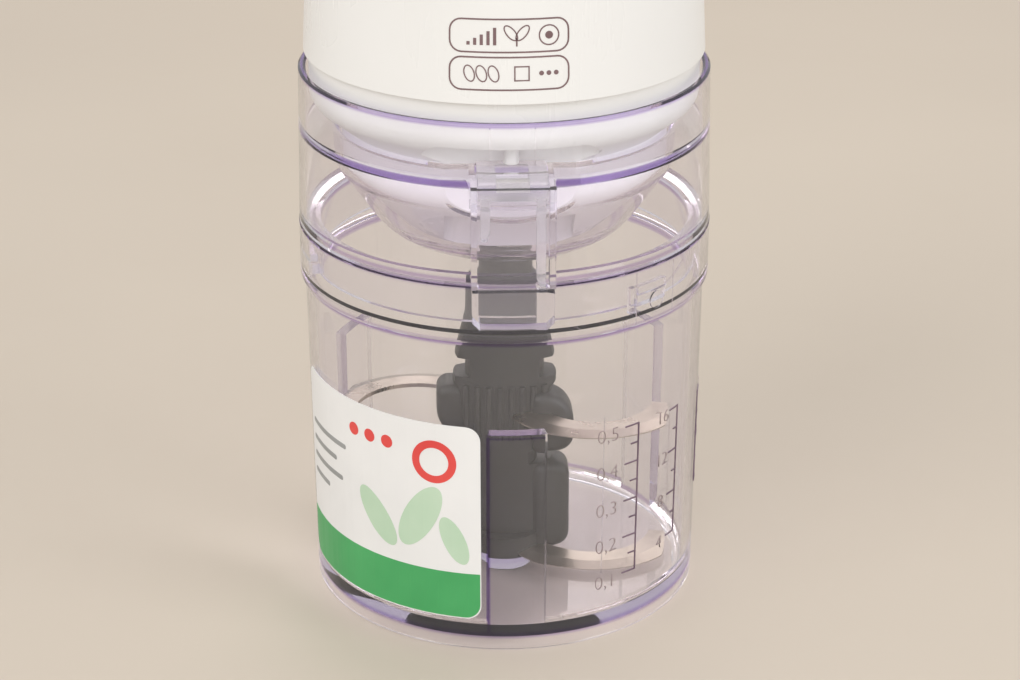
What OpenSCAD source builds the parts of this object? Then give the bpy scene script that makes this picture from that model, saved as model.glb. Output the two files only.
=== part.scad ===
// Electric mini chopper: clear bowl and locking lid, lift-off motor head, twin S-blades.
// The origin is the centre of the bowl's base, +Z is up and the latch faces -Y.

/* [Bowl] */
// Outer radius of the bowl wall, carried down to the table
bowl_r_base = 55.3; // [50:0.1:65]
// How much wider the wall is just under the collar
bowl_flare = 1; // [0:0.1:3]
// Height of the collar's lower edge
collar_z = 94; // [84:0.5:120]
// Height of the collar
collar_h = 16; // [14.5:0.5:24]
// How far the collar stands out past the wall
collar_step = 1.3; // [0.8:0.1:3]
// Thickness of the bowl wall
bowl_wall = 2.6; // [1.8:0.1:3.4]
// Thickness of the collar wall
collar_wall = 2.2; // [1.6:0.1:2.8]
// Thickness of the bowl floor
bowl_floor = 2.5; // [2:0.1:4]
// Height of the standing ring under the floor
stand_h = 3.7; // [2.5:0.1:6]
// Radius of the bottom outer edge
base_round = 1; // [0.5:0.1:1.6]
// Radius inside, between floor and wall
floor_round = 4; // [2:0.5:8]
// Number of inner baffles
baffle_n = 3; // [2:1:4]
// Width of an inner baffle
baffle_w = 15; // [10:0.5:24]
// How far a baffle stands in from the wall
baffle_t = 3; // [2:0.1:4]
// Height of the baffles' tops above the table
baffle_top = 66; // [50:1:80]
// Radius of the steel spindle
spindle_r = 3; // [2.5:0.1:3.6]
// Height of the spindle above its boss
spindle_h = 46; // [36:1:60]
// Radius of the boss that holds the spindle
boss_r = 6.5; // [5.5:0.1:7.5]
// Height of the boss above the floor
boss_h = 6; // [4:0.5:9]
// Radius of the index dot on the collar
dot_r = 2.5; // [1.5:0.1:4]

/* [Lid] */
// How much the lid's wall narrows to its top rim
lid_taper = 1; // [0:0.1:2]
// Height of the lid's outer wall
lid_h = 44.3; // [40:0.1:54]
// Thickness of the outer wall
lid_wall = 2; // [1.6:0.1:2.4]
// Depth of the ledge below the top rim
ledge_drop = 15; // [13:0.1:18]
// Thickness of the ledge
ledge_t = 3; // [2:0.1:4]
// Width of the ledge between the outer wall and the funnel's mouth
ledge_w = 9; // [8:0.1:11]
// Thickness of the funnel wall
funnel_wall = 1.8; // [1.4:0.1:2.2]
// Depth of the funnel's floor below the ledge top
funnel_depth = 34.8; // [32:0.1:38]
// Steepness of the funnel's side in degrees
funnel_slope = 55; // [50:1:60]
// Radius of the round between the funnel's side and floor
funnel_round = 21; // [16:0.5:24]
// Radius of the hole that the stem passes through
funnel_hole_r = 10; // [9:0.1:13]
// Radius of the funnel's mouth edge
mouth_round = 3; // [1.5:0.1:3.5]
// Width of the level platform behind the latch
platform_w = 40; // [34:1:44]
// How far the funnel's flat front is set in from its mouth
chord_in = 3.3; // [2:0.1:4]
// Length of the spigot that enters the collar
spigot_h = 11; // [9.5:0.1:13]
// Thickness of the spigot
spigot_t = 2; // [1.6:0.1:2.6]
// Number of bayonet lugs
lug_n = 3; // [3:1:4]
// Width of a lug in degrees
lug_deg = 11; // [8:0.5:12]
// Height of a lug
lug_h = 3; // [2:0.1:4]
// How far a lug stands out
lug_reach = 1.5; // [1:0.1:1.8]
// Height of the collar's hooks
hook_h = 2.5; // [2:0.1:3]
// Direction of the first lug
lug_az = -47.3; // [-60:0.1:-35]

/* [Interlock] */
// Width of the latch box
latch_w = 21.9; // [19:0.1:26]
// How far the latch box stands out past the collar
latch_reach = 6.4; // [5.7:0.1:9]
// Wall of the latch box
latch_wall = 1.6; // [1.2:0.1:2]
// Height of the catch box on the bowl
catch_h = 11; // [9:0.1:14]
// Fall of the slider from locked to open lid
slider_drop = 2.8; // [2:0.1:3.2]
// Turn of the lid from locked to open in degrees
lid_turn = 13; // [12.5:0.1:13.5]
// Thickness of the slider's top block
block_t = 5; // [4:0.1:6]
// How far the block stands above the ledge
block_rise = 1.4; // [1:0.1:2]
// Width of a slider leg
leg_w = 2.4; // [2:0.1:3]
// Thickness of a slider leg
leg_t = 3.2; // [2.6:0.1:3.6]
// Length of the slider's short leg
leg_h = 11; // [8:0.5:13]
// Radius of the switch pin in the head
pin_r = 2; // [1.5:0.1:2.5]

/* [Blades] */
// Radius of the stem's round foot
stem_r = 11.6; // [11.2:0.1:13]
// Half thickness of the stem between its two flats
grip_flat = 6.5; // [6.2:0.1:8]
// Radius of the stem's body above the foot
column_r = 14.6; // [13:0.1:15.5]
// Radius of the waist between the two blades
waist_r = 9.4; // [8:0.1:10.5]
// Radius of the stem's upper shaft
shaft_r = 8; // [7.2:0.1:8.8]
// Height of the umbrella's rim
umbrella_z = 67.5; // [64:0.5:72]
// Radius of the umbrella's rim
umbrella_r = 14.4; // [13:0.1:17]
// Height of the umbrella
umbrella_h = 12; // [9:0.5:14]
// Radius of the grip's shoulder under the neck
flange_r = 15; // [14:0.1:17]
// Radius of the neck
neck_r = 11.4; // [10:0.1:12.5]
// Height of the neck
neck_h = 6; // [4:0.1:8]
// Number of ribs on each flat of the grip
rib_n = 9; // [5:1:12]
// Height of the upper blade
upper_blade_z = 50; // [45:0.5:55]
// Height of the lower blade
lower_blade_z = 8; // [7.6:0.1:10]
// Blade thickness
blade_t = 1.2; // [0.8:0.1:1.6]
// Blade width
blade_w = 9; // [7:0.1:11]
// Width of the ground bevel
bevel_w = 3.6; // [2:0.1:5]
// Thickness left at the cutting edge
edge_t = 0.3; // [0.2:0.05:0.5]
// Radius of a blade wing's curve
wing_r = 22.2; // [20:0.1:24]
// Centre of the wing's curve, across
wing_x = 25.9; // [24:0.1:28]
// Centre of the wing's curve, towards the back
wing_y = 3.4; // [2:0.1:5]
// Reach of the root lobes
lobe_reach = 20; // [18:0.1:22]
// Radius of the root lobes
lobe_r = 8.2; // [7:0.1:9]

/* [Head] */
// Gap between the lower housing and the lid's ring
ring_gap = 0.9; // [0.4:0.1:2]
// How far the upper housing stands out at the seam
head_step = 1.3; // [1:0.1:2]
// How much the upper housing narrows to its crown
head_taper = 3.7; // [0:0.1:6]
// Height of the upper housing above the seam
head_h = 92.5; // [82:0.5:104]
// Radius of the crown's edge
crown_r = 20; // [12:0.5:22]
// Thickness of the housings
head_wall = 2.5; // [2:0.1:3]
// Height of the seam above the lid's rim
seam_rise = 4.8; // [3:0.1:8]
// Radius of the skirt's lower edge
skirt_round = 8; // [6:0.1:9]
// Slope angle where the skirt's round ends in degrees
skirt_deg = 50; // [45:1:55]
// Room between the nose and the funnel's floor
nose_room = 4; // [2:0.1:6]
// Radius between the nose's side and its cone
nose_round = 10; // [8:0.1:12]
// Radius between the cone and the nose's flat end
tip_round = 8; // [6:0.1:10]
// Width of the recess above the latch
recess_w = 46; // [40:1:56]
// Width of the notch under the recess
notch_w = 34; // [24:1:40]
// Height of the notch
notch_h = 13.5; // [9:0.5:14]
// Radius of the bore through the cord gland
gland_r = 3.6; // [3:0.1:4.5]
// Height of the cord gland above the seam
gland_rise = 18; // [14:0.5:40]

/* [Button] */
// Radius of the start button
button_r = 22; // [18:0.5:25]
// Travel of the start button
button_travel = 3.5; // [2.5:0.1:4]
// How far the button stands above the crown
button_rise = 4.5; // [4:0.1:6]
// Depth of the button's well
well_depth = 14; // [12:0.5:16]
// Coil radius of the return spring
spring_r = 7; // [6:0.1:9]
// Wire radius of the return spring
spring_wire_r = 0.45; // [0.3:0.05:0.5]
// Number of curls in the return spring
spring_turns = 4; // [3:1:4]

/* [Motor] */
// Width of the stator core
stator_w = 62; // [56:0.5:68]
// Depth of the stator core
stator_d = 48; // [44:0.5:54]
// Radius of the armature core
armature_r = 16; // [14:0.1:17.5]
// Air gap between armature and stator
air_gap = 0.7; // [0.5:0.05:0.8]
// Number of armature slots
slot_n = 12; // [10:1:16]
// Radius of the motor shaft
motor_shaft_r = 4; // [3.5:0.1:4.5]
// Radius of the commutator
commutator_r = 11; // [9:0.1:12]
// Height of the commutator
commutator_h = 11; // [9:0.5:13]
// Radius of the cooling fan
fan_r = 24; // [20:0.5:27]
// Height of the cooling fan
fan_h = 7; // [5:0.5:9]
// Number of fan blades
fan_n = 9; // [7:1:13]
// Height that the coil ends stand past the stack
coil_end = 6; // [5:0.5:7]
// Width of a carbon brush
brush_w = 6; // [5:0.1:7]
// Radius of the shaft bearings
bearing_r = 8; // [7:0.1:9]
// Height of the shaft bearings
bearing_h = 6; // [5:0.1:7]

/* [Gearbox] */
// Room between the ring gear and the nose's side
gear_room = 15.95; // [14:0.05:18]
// Height of the gears
gear_h = 9; // [7:0.5:10]
// Radius of the planet pins
planet_pin_r = 2; // [1.6:0.1:2.4]
// Radius of the output shaft
output_r = 5; // [4.5:0.1:5.5]
// Wall outside the ring gear's teeth
ring_wall = 4; // [3:0.1:4.5]
// Radius of the drive coupling
coupling_r = 11; // [10:0.1:12.2]
// Thickness of the planet carrier
carrier_t = 3; // [2.5:0.1:4]

/* [Fits] */
// Clearance between a sliding and a fixed piece
slide_gap = 0.35; // [0.3:0.05:0.4]
// Clearance between a turning shaft and its bush
run_gap = 0.05; // [0.03:0.01:0.08]
// Gap between the lid and the bowl's rim
seat_gap = 0.3; // [0.25:0.05:0.4]
// Gap between the nose and the funnel
nose_gap = 0.5; // [0.4:0.05:0.8]
// Gap between the blade tips and the baffles
tip_gap = 2.2; // [1.5:0.1:4]

/* [Hidden] */
$fn = 64;

// Overlap that carries a cut past a face
cut = 1;
big = 4 * bowl_r_base;

// Bowl
bowl_r_top = bowl_r_base + bowl_flare;
collar_r = bowl_r_top + collar_step;
collar_ri = collar_r - collar_wall;
joint_z = collar_z + collar_h;
bowl_ri_top = bowl_r_top - bowl_wall;
bowl_ri_base = bowl_r_base - bowl_wall;
collar_round = 1;
floor_z = stand_h + bowl_floor;
stand_pad_r = 8;
boss_top = floor_z + boss_h;
spindle_sunk = 2;
spindle_low = floor_z - spindle_sunk;
spindle_top = boss_top + spindle_h;
baffle_r = bowl_ri_base - baffle_t;
baffle_deg = baffle_w / baffle_r * 180 / PI;
baffle_az = -88.5;
dot_rise = 0.4;
dot_z = collar_z + 6.3;

// Lid
lid_z = joint_z + seat_gap;
lid_top = lid_z + lid_h;
lid_flush = 0.1;
lid_r_low = collar_r - lid_flush;
lid_r_top = lid_r_low - lid_taper;
ledge_top = lid_top - ledge_drop;
ledge_low = ledge_top - ledge_t;
foot_t = 2.6;
foot_edge = 1;
rim_edge = 0.6;
spigot_r = collar_ri - lug_reach - slide_gap;
spigot_low = joint_z - spigot_h;
lug_pitch = 360 / lug_n;
hook_low = spigot_low + lug_h + slide_gap;
hook_ri = spigot_r + slide_gap;
stop_deg = 2;
stop_play = 0.7;
shelf_gap = 1.5;
shelf_z = spigot_low - shelf_gap;
mouth_r = lid_r_top - lid_wall - ledge_w;
funnel_r = mouth_r + funnel_wall;
funnel_low = ledge_top - funnel_depth;
platform_slope = 4;
funnel_top_round = 8;
funnel_flat_r = 20;

// Latch
latch_front = collar_r + latch_reach;
latch_x = latch_w / 2;
latch_in = latch_x - latch_wall;
catch_play = 0.25;
catch_x = latch_x - catch_play;
latch_lift = 2.4;
latch_low = joint_z + latch_lift;
catch_gap = 0.4;
catch_top = latch_low - catch_gap;
catch_low = catch_top - catch_h;
catch_chamfer = 2;
catch_back = collar_r - collar_wall / 2;
lid_wall_back = lid_r_low - lid_wall;
block_x = latch_in - slide_gap;
block_top = ledge_top + block_rise;
block_low = block_top - block_t;
block_dish = 3;
chord_y = mouth_r - chord_in;
chord_out = chord_y + funnel_wall;
block_back = chord_out + slide_gap;
front_gap = 0.6;
slider_front = latch_front - latch_wall - front_gap;
pocket_low = block_low - slider_drop - slide_gap;
pocket_t = 1.6;
window_top = block_top + slide_gap;
leg_in = 0.6;
leg_x = block_x - leg_in;
leg_low = block_low - leg_h;
foot_low = latch_low;
foot_cut = 0.8;
leg_taper = 2.5;
ramp_x = leg_x - leg_w;
slider_arc = latch_front * lid_turn * PI / 180;
ramp_slope = slider_drop / slider_arc;
frame_x = 4.3;
frame_t = 1.2;
frame_h = 11.6;
frame_bar_h = 7.6;
frame_top = latch_low + frame_h;
frame_mid = latch_low + frame_bar_h;

// Head housings
seam_z = lid_top + seam_rise;
skirt_r = lid_r_top - lid_wall - ring_gap;
head_r = skirt_r + head_step;
head_r_top = head_r - head_taper;
nose_r = mouth_r - nose_gap;
nose_z = funnel_low + funnel_wall + nose_room;
nose_slope = 45;
crown_z = seam_z + head_h;
crown_edge_z = crown_z - crown_r;
skirt_top = seam_z;
skirt_drop = 4;
skirt_edge_z = lid_top - skirt_drop;
flat_y = chord_y - nose_gap;
recess_room = 5.6;
recess_top = block_top + recess_room;
recess_round = 5;
notch_in = 17;
notch_y = flat_y - notch_in;
notch_top = nose_z + notch_h;
coupling_hole_gap = 1;
coupling_hole_r = coupling_r + coupling_hole_gap;
gear_floor_t = 3;
gear_floor_h = 20;
gear_floor = nose_z + gear_floor_h;
gear_rib_t = 2;
screw_r = 1.5;
screw_play = 0.15;
screw_head_r = 3;
screw_head_h = 2.2;
screw_boss_r = 4.2;
screw_in = 5.3;
screw_ring_r = skirt_r - screw_in;
housing_screw_az = [30, 90, 150];
housing_seat_h = 11;
housing_screw_seat = ledge_top + housing_seat_h;
housing_boss_h = 16;
housing_screw_h = 12;
pin_in = 5.3;
pin_y = flat_y + pin_in;
guide_r = 4.6;
guide_floor = 1.9;
guide_step = recess_top + guide_floor;
pin_head_r = 3;
pin_head_t = 1.2;
guide_top = guide_step + slider_drop + pin_head_t + 2 * slide_gap;
lip_t = 0.8;
lip_h = 3;
gland_z = seam_z + gland_rise;
gland_wall = 1.9;
gland_flange = 2;
gland_inner = head_wall + 4;
head_lean = head_taper / (crown_edge_z - seam_z);
gland_flange_r = gland_r + gland_wall + gland_flange;
gland_y = head_r - head_lean * (gland_rise - gland_flange_r);
vent_n = 5;
vent_w = 2.4;
vent_h = 16;
vent_step = 9;
vent_drop = 12;
vent_z = crown_edge_z - vent_h - vent_drop;
switch_w = 14;
switch_d = 7;
switch_front = 2.2;
switch_y = pin_y + switch_front - switch_d / 2;
switch_body_h = 7;
switch_hole_r = 1.1;
tab_t = 0.8;
tab_h = 3;

// Gearbox
sun_n = 12;
planet_n = 18;
ring_n = sun_n + 2 * planet_n;
planet_az = [0, 120, 240];
pressure_deg = 25;
tooth_add = 0.8;
tooth_ded = 1.05;
backlash = 0.1;
ring_r = nose_r - gear_room;
gear_m = (ring_r - ring_wall) / (ring_n / 2 + tooth_ded);
orbit_r = gear_m * (sun_n + planet_n) / 2;
sleeve_t = 2.4;
carrier_lift = 0.6;
carrier_low = gear_floor + carrier_lift;
carrier_top = carrier_low + carrier_t;
carrier_edge = 2;
carrier_r = orbit_r + planet_pin_r + carrier_edge;
carrier_play = 1.4;
gear_lift = 0.6;
gear_low = carrier_top + gear_lift;
gear_top = gear_low + gear_h;
tooth_lead = 1;
base_gap = 2.4;
base_low = gear_top + base_gap;
pin_rise = 0.4;
pin_top = gear_top + pin_rise;
output_bush_t = 3;
bush_r = output_r + output_bush_t;
hub_t = 2.5;
hub_r = bush_r + hub_t;
bush_rise = 10.5;
bush_low = nose_z + bush_rise;
coupling_lift = 0.5;
coupling_top = bush_low - coupling_lift;
coupling_plate = 3.4;
coupling_low = nose_z - coupling_lift;
coupling_wall = 2.9;
dog_ri = 4.5;
dog_ro = coupling_r - coupling_wall;
dog_deg = 40;
dog_lead = 1;
dog_low = coupling_low + dog_lead;
shaft_low = coupling_top - coupling_plate;

// Button
button_top = crown_z + button_rise;
well_r = button_r + slide_gap;
well_wall = 2;
well_floor = crown_z - well_depth;
well_t = 2;
button_floor_gap = 1;
button_low = well_floor + well_t + button_travel + button_floor_gap;
button_skin = 2.4;
button_edge = 3;
button_edge_deg = 80;
button_crown = 1;
button_ceiling = button_top - button_skin - button_crown;
guide_post_r = 4;
guide_post_gap = 0.08;
post_flange_r = 6;
post_flange_t = 1.2;
post_flange_top = well_floor - slide_gap;
button_leg_r = 2.4;
button_leg_y = 14;
button_leg_gap = 0.6;
button_leg_hole = button_leg_r + button_leg_gap;
spring_low = well_floor + well_t;
spring_sides = 6;
spring_rings = 8;

// Motor
base_in = 7;
base_t = 3.5;
base_top = base_low + base_t;
base_r = nose_r - base_in;
base_edge = 3.5;
base_screw_r = base_r - base_edge;
base_screw_h = 9;
base_boss_r = 3.6;
post_in_x = 6;
post_in_y = 5;
post_x = stator_w / 2 - post_in_x;
post_y = stator_d / 2 - post_in_y;
post_r = 3.5;
bolt_r = 1.6;
bolt_play = 0.2;
bolt_lift = 3;
bolt_low = base_top + bolt_lift;
bearing_low = base_top;
bearing_top = bearing_low + bearing_h;
bearing_hub_r = bearing_r + hub_t;
shaft_hole_gap = 1;
fan_gap = 1.5;
fan_low = bearing_top + fan_gap;
fan_disc = 1.4;
fan_hub = 3.5;
fan_blade_t = 1.2;
fan_lean = 12;
coil_room = 3;
stack_low = fan_low + fan_h + coil_end + coil_room;
stator_round = 5;
stator_bore_r = armature_r + air_gap;
pole_neck = 14;
coil_gap = 0.3;
coil_in = 1.9;
coil_x = stator_bore_r + coil_in;
coil_w = 7;
coil_build = 6.2;
slot_open = 5;
bracket_t = 3;
brush_room = 4;
switch_h = 8;
switch_room = 5.8;
switch_top = well_floor - switch_room;
start_switch_w = 20;
start_switch_back = 5.5;
start_hole_r = 1.4;
button_leg_low = switch_top + button_travel + slide_gap;
bracket_top = switch_top - switch_h;
bracket_low = bracket_top - bracket_t;
commutator_top = bracket_low - brush_room;
commutator_low = commutator_top - commutator_h;
stack_top = commutator_low - coil_end - coil_room;
holder_wall = 1.6;
brush_gap = 0.3;
holder_gap = 1.6;
holder_y = commutator_r + holder_gap;
holder_len = 16;
brush_back = 3;
holder_z = bracket_low - brush_w / 2 - holder_wall;
bearing_drop = 2;
upper_bearing_low = bracket_low - bearing_drop;
upper_bearing_top = upper_bearing_low + bearing_h;
shaft_stub = 0.8;
motor_shaft_top = upper_bearing_top + shaft_stub;
sun_bore_r = 3;
shaft_step_h = 1.5;
shaft_step_z = base_low + shaft_step_h;
winding_in = 2.5;
winding_short = 0.5;
winding_edge = 1;
winding_round = 2;
slot_depth = 4;
slot_r = 1.8;
slot_w = 1.2;
bar_gap = 0.4;
bar_depth = 1;

// Blade unit
stem_gap = 0.6;
stem_low = floor_z + stem_gap;
stem_drop = 1;
stem_top = nose_z - stem_drop;
stem_edge = 0.8;
boss_gap = 0.7;
stem_bore = boss_r + boss_gap;
stem_bore_top = boss_top + slide_gap;
bush_wall = 2;
stem_bush_r = spindle_r + run_gap + bush_wall;
stem_bush_h = 18;
spindle_room = 1;
dog_h = 5;
dog_gap = 0.6;
pilot_r = 3.2;
pilot_gap = 0.8;
pilot_top = shaft_low - pilot_gap;
stem_dog_r = dog_ro - dog_gap;
stem_dog_deg = 30;
blade_r = baffle_r - tip_gap;
blade_hole_wall = 1.2;
lower_hole_r = stem_bore + blade_hole_wall;
blade_hub_w = 2.6;
blade_hub_r = lower_hole_r + blade_hub_w;
hub_skin = 0.6;
upper_hub_y = grip_flat - hub_skin;
upper_hole_r = spindle_r + spindle_room + hub_skin;
blade_slot_gap = 0.05;
wing_from = -168;
wing_to = -15;
lobe_az = -42;
flange_top = umbrella_z - neck_h;
flange_t = 2.2;
flange_cone = 1.5;
foot_rise = 0.6;
foot_top = stem_bore_top + foot_rise;
column_h = 22;
column_top = foot_top + column_h;
grip_r = 13.2;
grip_drop = 11;
grip_low = upper_blade_z - grip_drop;
grip_cone = 3;
rib_r = 0.8;
rib_span = 23;
rib_step = rib_span / (rib_n - 1);
rib_drop = 6.5;
rib_low = upper_blade_z - rib_drop;
umbrella_lip = 2;
umbrella_draft = 0.4;
bell_r = 11.2;
bell_draft = 0.5;
bell_drop = 14.5;
bell_top = funnel_low - bell_drop;
bell_cone = 3;
flat_top = umbrella_z + umbrella_h;
upper_lobe_low = 9.5;
upper_lobe_h = 17.5;
lower_lobe_h = 28;

function arc(c, r, from, to, n = 12) =
    [for (i = [0:n]) c + r * [cos(from + (to - from) * i / n), sin(from + (to - from) * i / n)]];

// Side of a round cup: straight neck, upper round, sloping side, lower round, flat end.
// A positive grow moves the whole outline outwards.
function cup_side_z(r, r1, slope, r2, flat, low) =
    (sin(slope) * (r - r1 - flat) + r1 - r2) / cos(slope) + low + r2;
function cup_side(r, r1, slope, r2, flat, low, grow = 0) = concat(
    arc([flat, low + r2], r2 + grow, -90, slope - 90),
    arc([r - r1, cup_side_z(r, r1, slope, r2, flat, low)], r1 + grow, slope - 90, 0)
);
function funnel_side(grow = 0) =
    cup_side(funnel_r, funnel_top_round, funnel_slope, funnel_round, funnel_flat_r, funnel_low, grow);

// The nose bends just above the funnel's bend, and its cone ends where the nose is deep enough.
bend_rise = 1.35;
nose_bend_z = bend_rise
    + cup_side_z(funnel_r, funnel_top_round, funnel_slope, funnel_round, funnel_flat_r, funnel_low);
nose_flat_r = nose_r - nose_round
    - ((nose_bend_z - nose_z - tip_round) * cos(nose_slope) - nose_round + tip_round) / sin(nose_slope);
function nose_side(grow = 0) =
    cup_side(nose_r, nose_round, nose_slope, tip_round, nose_flat_r, nose_z, grow);

// Lower housing above the nose: cone up to the skirt's round, then the straight skirt.
skirt_c = [skirt_r - skirt_round, skirt_edge_z];
skirt_line = skirt_c + skirt_round * [cos(skirt_deg), -sin(skirt_deg)];
function skirt_cone_z(r) = skirt_line[1] - (skirt_line[0] - r) / tan(skirt_deg);
function skirt_side(grow = 0) = concat(
    [[nose_r + grow, skirt_cone_z(nose_r) - grow]],
    arc(skirt_c, skirt_round + grow, -skirt_deg, 0),
    [[skirt_r + grow, skirt_top]]
);

// Involute gear outline with one tooth centred on +X.
function roll(r, rb) = r > rb ? sqrt(r * r / rb / rb - 1) : 0;
function involute_deg(r, rb) = roll(r, rb) * 180 / PI - atan(roll(r, rb));
function tooth_half(r, n, play) =
    90 / n - play / (gear_m * n / 2) * 90 / PI
    + involute_deg(gear_m * n / 2, gear_m * n / 2 * cos(pressure_deg))
    - involute_deg(r, gear_m * n / 2 * cos(pressure_deg));
function flank(n, add, ded) =
    [for (i = [0:4]) gear_m * (n / 2 - ded + (add + ded) * i / 4)];
function gear_points(n, add, ded, play) = [
    for (t = [0:n - 1], side = [-1, 1], i = [0:4])
        let (r = flank(n, add, ded)[side < 0 ? i : 4 - i])
        let (a = t * 360 / n + side * tooth_half(r, n, play))
        [r * cos(a), r * sin(a)]
];

module ring(r_out, r_in, low, high) {
    translate([0, 0, low])
        difference() {
            cylinder(r = r_out, h = high - low);
            translate([0, 0, -cut]) cylinder(r = r_in, h = high - low + 2 * cut);
        }
}

module rod(r, low, high) {
    translate([0, 0, low]) cylinder(r = r, h = high - low);
}

module block(x0, x1, y0, y1, z0, z1) {
    translate([x0, y0, z0]) cube([x1 - x0, y1 - y0, z1 - z0]);
}

module sector(r_in, r_out, low, high, from, deg) {
    rotate([0, 0, from])
        rotate_extrude(angle = deg)
            translate([r_in, low]) square([r_out - r_in, high - low]);
}

module around(list, r) {
    for (a = list)
        rotate([0, 0, a]) translate([r, 0, 0]) children();
}

module corners(x, y) {
    for (sx = [-1, 1], sy = [-1, 1])
        translate([sx * x, sy * y, 0]) children();
}

// Space behind a plane that faces the front
module behind(y) {
    translate([-big, -y, -big]) cube([2 * big, 2 * big, 3 * big]);
}

module bowl_shell() {
    rotate_extrude()
        polygon(concat(
            [
                [0, 0],
                [stand_pad_r, 0],
                [stand_pad_r, stand_h],
                [bowl_ri_base, stand_h],
                [bowl_ri_base, 0]
            ],
            arc([bowl_r_base - base_round, base_round], base_round, -90, 0, 5),
            [[bowl_r_top, collar_z - collar_round]],
            arc([collar_r - collar_round, collar_z + collar_round], collar_round, -90, 0, 4),
            [
                [collar_r, joint_z],
                [collar_ri, joint_z],
                [collar_ri, shelf_z],
                [bowl_ri_top, shelf_z - (collar_ri - bowl_ri_top)]
            ],
            arc([bowl_ri_base - floor_round, floor_z + floor_round], floor_round, 0, -90, 6),
            [[0, floor_z]]
        ));
}

module bayonet_hooks() {
    for (i = [0:lug_n - 1]) {
        from = lug_az + i * lug_pitch - lug_deg / 2;
        sector(hook_ri, collar_ri + cut, hook_low, hook_low + hook_h, from, lug_deg);
        sector(hook_ri, collar_ri + cut, shelf_z, hook_low + hook_h, from - stop_play - stop_deg, stop_deg);
    }
}

// Open box on the collar whose right wall ends in the ramp that lifts the slider.
module catch_box() {
    difference() {
        translate([0, -catch_back, 0])
            rotate([90, 0, 0])
                linear_extrude(latch_front - catch_back)
                    polygon([
                        [-catch_x, catch_low + catch_chamfer],
                        [-catch_x + catch_chamfer, catch_low],
                        [catch_x - catch_chamfer, catch_low],
                        [catch_x, catch_low + catch_chamfer],
                        [catch_x, foot_low - slide_gap - ramp_slope * (catch_x - ramp_x)],
                        [ramp_x, foot_low - slide_gap],
                        [ramp_x, catch_top],
                        [-catch_x, catch_top]
                    ]);
        rod(catch_back, catch_low - cut, latch_low + cut);
        block(
            -catch_x + latch_wall, ramp_x, -latch_front + latch_wall, 0,
            catch_low + latch_wall, latch_low + cut
        );
        // The ramp stays inside the lid's latch box while the lid turns
        translate([0, 0, catch_top - cut / 2])
            difference() {
                cylinder(r = big, h = 2 * cut);
                translate([0, 0, -cut]) cylinder(r = latch_front - latch_wall - slide_gap, h = 4 * cut);
            }
        // Clearance to the lid's turning wall
        rod(lid_r_low + slide_gap, joint_z, latch_low + cut);
    }
}

module bowl() {
    color([0.88, 0.86, 0.92, 0.35])
        difference() {
            union() {
                bowl_shell();
                rod(boss_r, floor_z - cut, boss_top);
                bayonet_hooks();
                catch_box();
                rotate([0, 0, lug_az])
                    translate([collar_r - collar_wall / 2, 0, dot_z])
                        rotate([0, 90, 0]) cylinder(r = dot_r, h = collar_wall / 2 + dot_rise);
                for (i = [0:baffle_n - 1])
                    sector(
                        baffle_r, bowl_ri_top, floor_z - cut, baffle_top,
                        baffle_az + i * 360 / baffle_n - baffle_deg / 2, baffle_deg
                    );
            }
            rod(spindle_r, spindle_low, boss_top + cut);
        }
}

module bowl_spindle() {
    color([0.75, 0.76, 0.78])
        rod(spindle_r, spindle_low, spindle_top);
}

// One S-blade: a hub ring with two curved wings ground on the outer edge.
module s_blade(z, hole_r, hub_y, grow = 0) {
    translate([0, 0, z - grow])
        difference() {
            intersection() {
                union() {
                    intersection() {
                        cylinder(r = blade_hub_r + grow, h = blade_t + 2 * grow);
                        block(-big, big, -hub_y - grow, hub_y + grow, -cut, blade_t + cut);
                    }
                    for (turn = [0, 180])
                        rotate([0, 0, turn])
                            translate([wing_x, wing_y, 0])
                                rotate([0, 0, wing_from])
                                    rotate_extrude(angle = wing_to - wing_from)
                                        wing_section(grow);
                }
                cylinder(r = blade_r, h = blade_t + 2 * grow);
            }
            translate([0, 0, -cut]) cylinder(r = hole_r - grow, h = blade_t + 2 * cut);
        }
}

module wing_section(grow) {
    polygon([
        [wing_r - blade_w / 2 - grow, 0],
        [wing_r + blade_w / 2 + grow, 0],
        [wing_r + blade_w / 2 + grow, edge_t + 2 * grow],
        [wing_r + blade_w / 2 - bevel_w + grow, blade_t + 2 * grow],
        [wing_r - blade_w / 2 - grow, blade_t + 2 * grow]
    ]);
}

module upper_blade() {
    color([0.78, 0.78, 0.8])
        s_blade(upper_blade_z, upper_hole_r, upper_hub_y);
}

module lower_blade() {
    color([0.78, 0.78, 0.8])
        s_blade(lower_blade_z, lower_hole_r, blade_hub_r);
}

// Round-ended lobes that wrap the roots of a blade's wings
module root_lobes(low, high) {
    around([lobe_az, lobe_az + 180], lobe_reach - lobe_r) {
        rod(lobe_r, low + lobe_r, high - lobe_r);
        for (z = [low + lobe_r, high - lobe_r])
            translate([0, 0, z]) sphere(r = lobe_r);
    }
}

// Body between the two flats: lower column, waist, ribbed grip, neck and umbrella.
module stem_grip() {
    intersection() {
        rotate_extrude()
            polygon([
                [0, stem_low],
                [column_r, stem_low],
                [column_r, column_top],
                [waist_r, column_top],
                [waist_r, grip_low],
                [grip_r, grip_low + grip_cone],
                [grip_r, flange_top - flange_t - flange_cone],
                [flange_r, flange_top - flange_t],
                [flange_r, flange_top],
                [neck_r, flange_top],
                [neck_r, umbrella_z],
                [umbrella_r, umbrella_z],
                [umbrella_r - umbrella_draft, umbrella_z + umbrella_lip],
                [bell_r, flat_top],
                [0, flat_top]
            ]);
        block(-big, big, -grip_flat, grip_flat, stem_low, flat_top);
    }
    for (side = [-1, 1], i = [0:rib_n - 1])
        translate([i * rib_step - rib_span / 2, side * grip_flat, 0])
            rod(rib_r, rib_low, flange_top - flange_t);
}

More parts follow.
